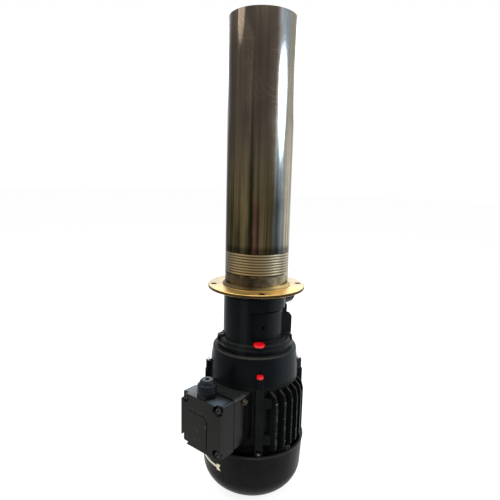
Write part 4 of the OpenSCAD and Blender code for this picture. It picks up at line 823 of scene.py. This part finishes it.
def aimCamera(look):
    yaw, pitch, roll = (math.radians(look[k]) for k in ("yaw", "pitch", "roll"))
    ahead = Vector((math.sin(yaw) * math.cos(pitch), math.cos(yaw) * math.cos(pitch), -math.sin(pitch)))
    side = Vector((math.cos(yaw), -math.sin(yaw), 0))
    top = side.cross(ahead)
    right = side * math.cos(roll) + top * math.sin(roll)
    up = top * math.cos(roll) - side * math.sin(roll)
    turn = Matrix.Rotation(math.radians(look["turn"]), 3, "Z")
    axes = Matrix((turn @ right, turn @ up, turn @ -ahead)).transposed()
    camera = bpy.data.objects.new("camera", bpy.data.cameras.new("camera"))
    bpy.context.scene.collection.objects.link(camera)
    camera.data.lens = look["lens"]
    camera.data.sensor_width = look["sensor"]
    camera.data.clip_start = look["nearest"]
    camera.matrix_world = Matrix.Translation(look["place"]) @ axes.to_4x4()
    bpy.context.scene.camera = camera


# each lamp stands at a turn from the camera, counted to the right, and is aimed at a height on the axis
lamps = [
    {"name": "windowRight", "turn": 77, "reach": 1.25, "height": 0.5575, "aim": 0.2, "size": (0.84, 0.705),
     "power": 9.5, "colour": (0.9, 0.96, 1.0), "shape": "ELLIPSE"},
    {"name": "roomLeft", "turn": -62, "reach": 1.9, "height": 0.7, "aim": 0.1, "size": (2.2, 1.8),
     "power": 12.0, "colour": (1.0, 0.97, 0.92), "shape": "RECTANGLE"},
    {"name": "ceilingFront", "turn": 10, "reach": 0.35, "height": 1.3, "aim": 0.0, "size": (0.6, 0.6),
     "power": 6.0, "colour": (0.94, 0.98, 1.0), "shape": "ELLIPSE"},
    {"name": "ceilingLeft", "turn": -85, "reach": 0.95, "height": 1.05, "aim": -0.1, "size": (0.5, 0.5),
     "power": 5.0, "colour": (1.0, 0.97, 0.92), "shape": "ELLIPSE"},
    {"name": "windowBack", "turn": 172, "reach": 1.3, "height": 0.62, "aim": 0.0, "size": (1.4, 0.5),
     "power": 6.5, "colour": (0.88, 0.94, 1.0), "shape": "ELLIPSE"},
]


def softLamp(look):
    azimuth = math.radians(cameraLook["turn"] + look["turn"])
    reach = look["reach"]
    place = Vector((reach * math.sin(azimuth), -reach * math.cos(azimuth), look["height"]))
    lamp = bpy.data.objects.new(look["name"], bpy.data.lights.new(look["name"], "AREA"))
    lamp.data.shape = look["shape"]
    lamp.data.size, lamp.data.size_y = look["size"]
    lamp.data.energy = look["power"]
    lamp.data.color = look["colour"]
    lamp.rotation_mode = "QUATERNION"
    lamp.location = place
    lamp.rotation_quaternion = (Vector((0, 0, look["aim"])) - place).to_track_quat("-Z", "Y")
    bpy.context.scene.collection.objects.link(lamp)


def seenDirectly(tree):
    paths = addNode(tree, "LightPath").outputs
    either = calc(tree, "MAXIMUM", paths["Is Camera Ray"], paths["Is Glossy Ray"])
    return calc(tree, "MAXIMUM", either, paths["Is Transmission Ray"])


# the world is white where it is seen and dimmer as light, and the floor keeps the pump's shadow
stageLook = {"ambient": 0.42, "floorSize": 24, "floorDrop": 0.0001, "floorGrey": 0.85, "glow": 1.5,
             "glowShare": 0.55}


def buildStage(look):
    world = bpy.data.worlds.new("studio")
    bpy.context.scene.world = world
    world.use_nodes = True
    tree = world.node_tree
    background = tree.nodes["Background"]
    strength = spread(tree, seenDirectly(tree), 0, 1, look["ambient"], 1.0)
    tree.links.new(strength, background.inputs["Strength"])
    background.inputs["Color"].default_value = (1, 1, 1, 1)
    deselectAll()
    bpy.ops.mesh.primitive_plane_add(size=look["floorSize"], location=(0, 0, cadLow.z - look["floorDrop"]))
    floor = bpy.context.object
    floor.name = "studioFloor"
    material = bpy.data.materials.new("studioFloor")
    material.use_nodes = True
    tree = material.node_tree
    tree.nodes.remove(tree.nodes["Principled BSDF"])
    grey = look["floorGrey"]
    matte = addNode(tree, "BsdfDiffuse", {"Color": (grey, grey, grey, 1)})
    glow = addNode(tree, "Emission", {"Color": (1, 1, 1, 1), "Strength": look["glow"]})
    shade = product(tree, seenDirectly(tree), look["glowShare"])
    blend = addNode(tree, "MixShader", {0: shade, 1: matte.outputs[0], 2: glow.outputs[0]})
    tree.links.new(blend.outputs[0], tree.nodes["Material Output"].inputs["Surface"])
    floor.data.materials.append(material)


buildStage(stageLook)
aimCamera(cameraLook)
for look in lamps:
    softLamp(look)
bpy.context.scene.view_settings.view_transform = "Standard"
print("stage set")
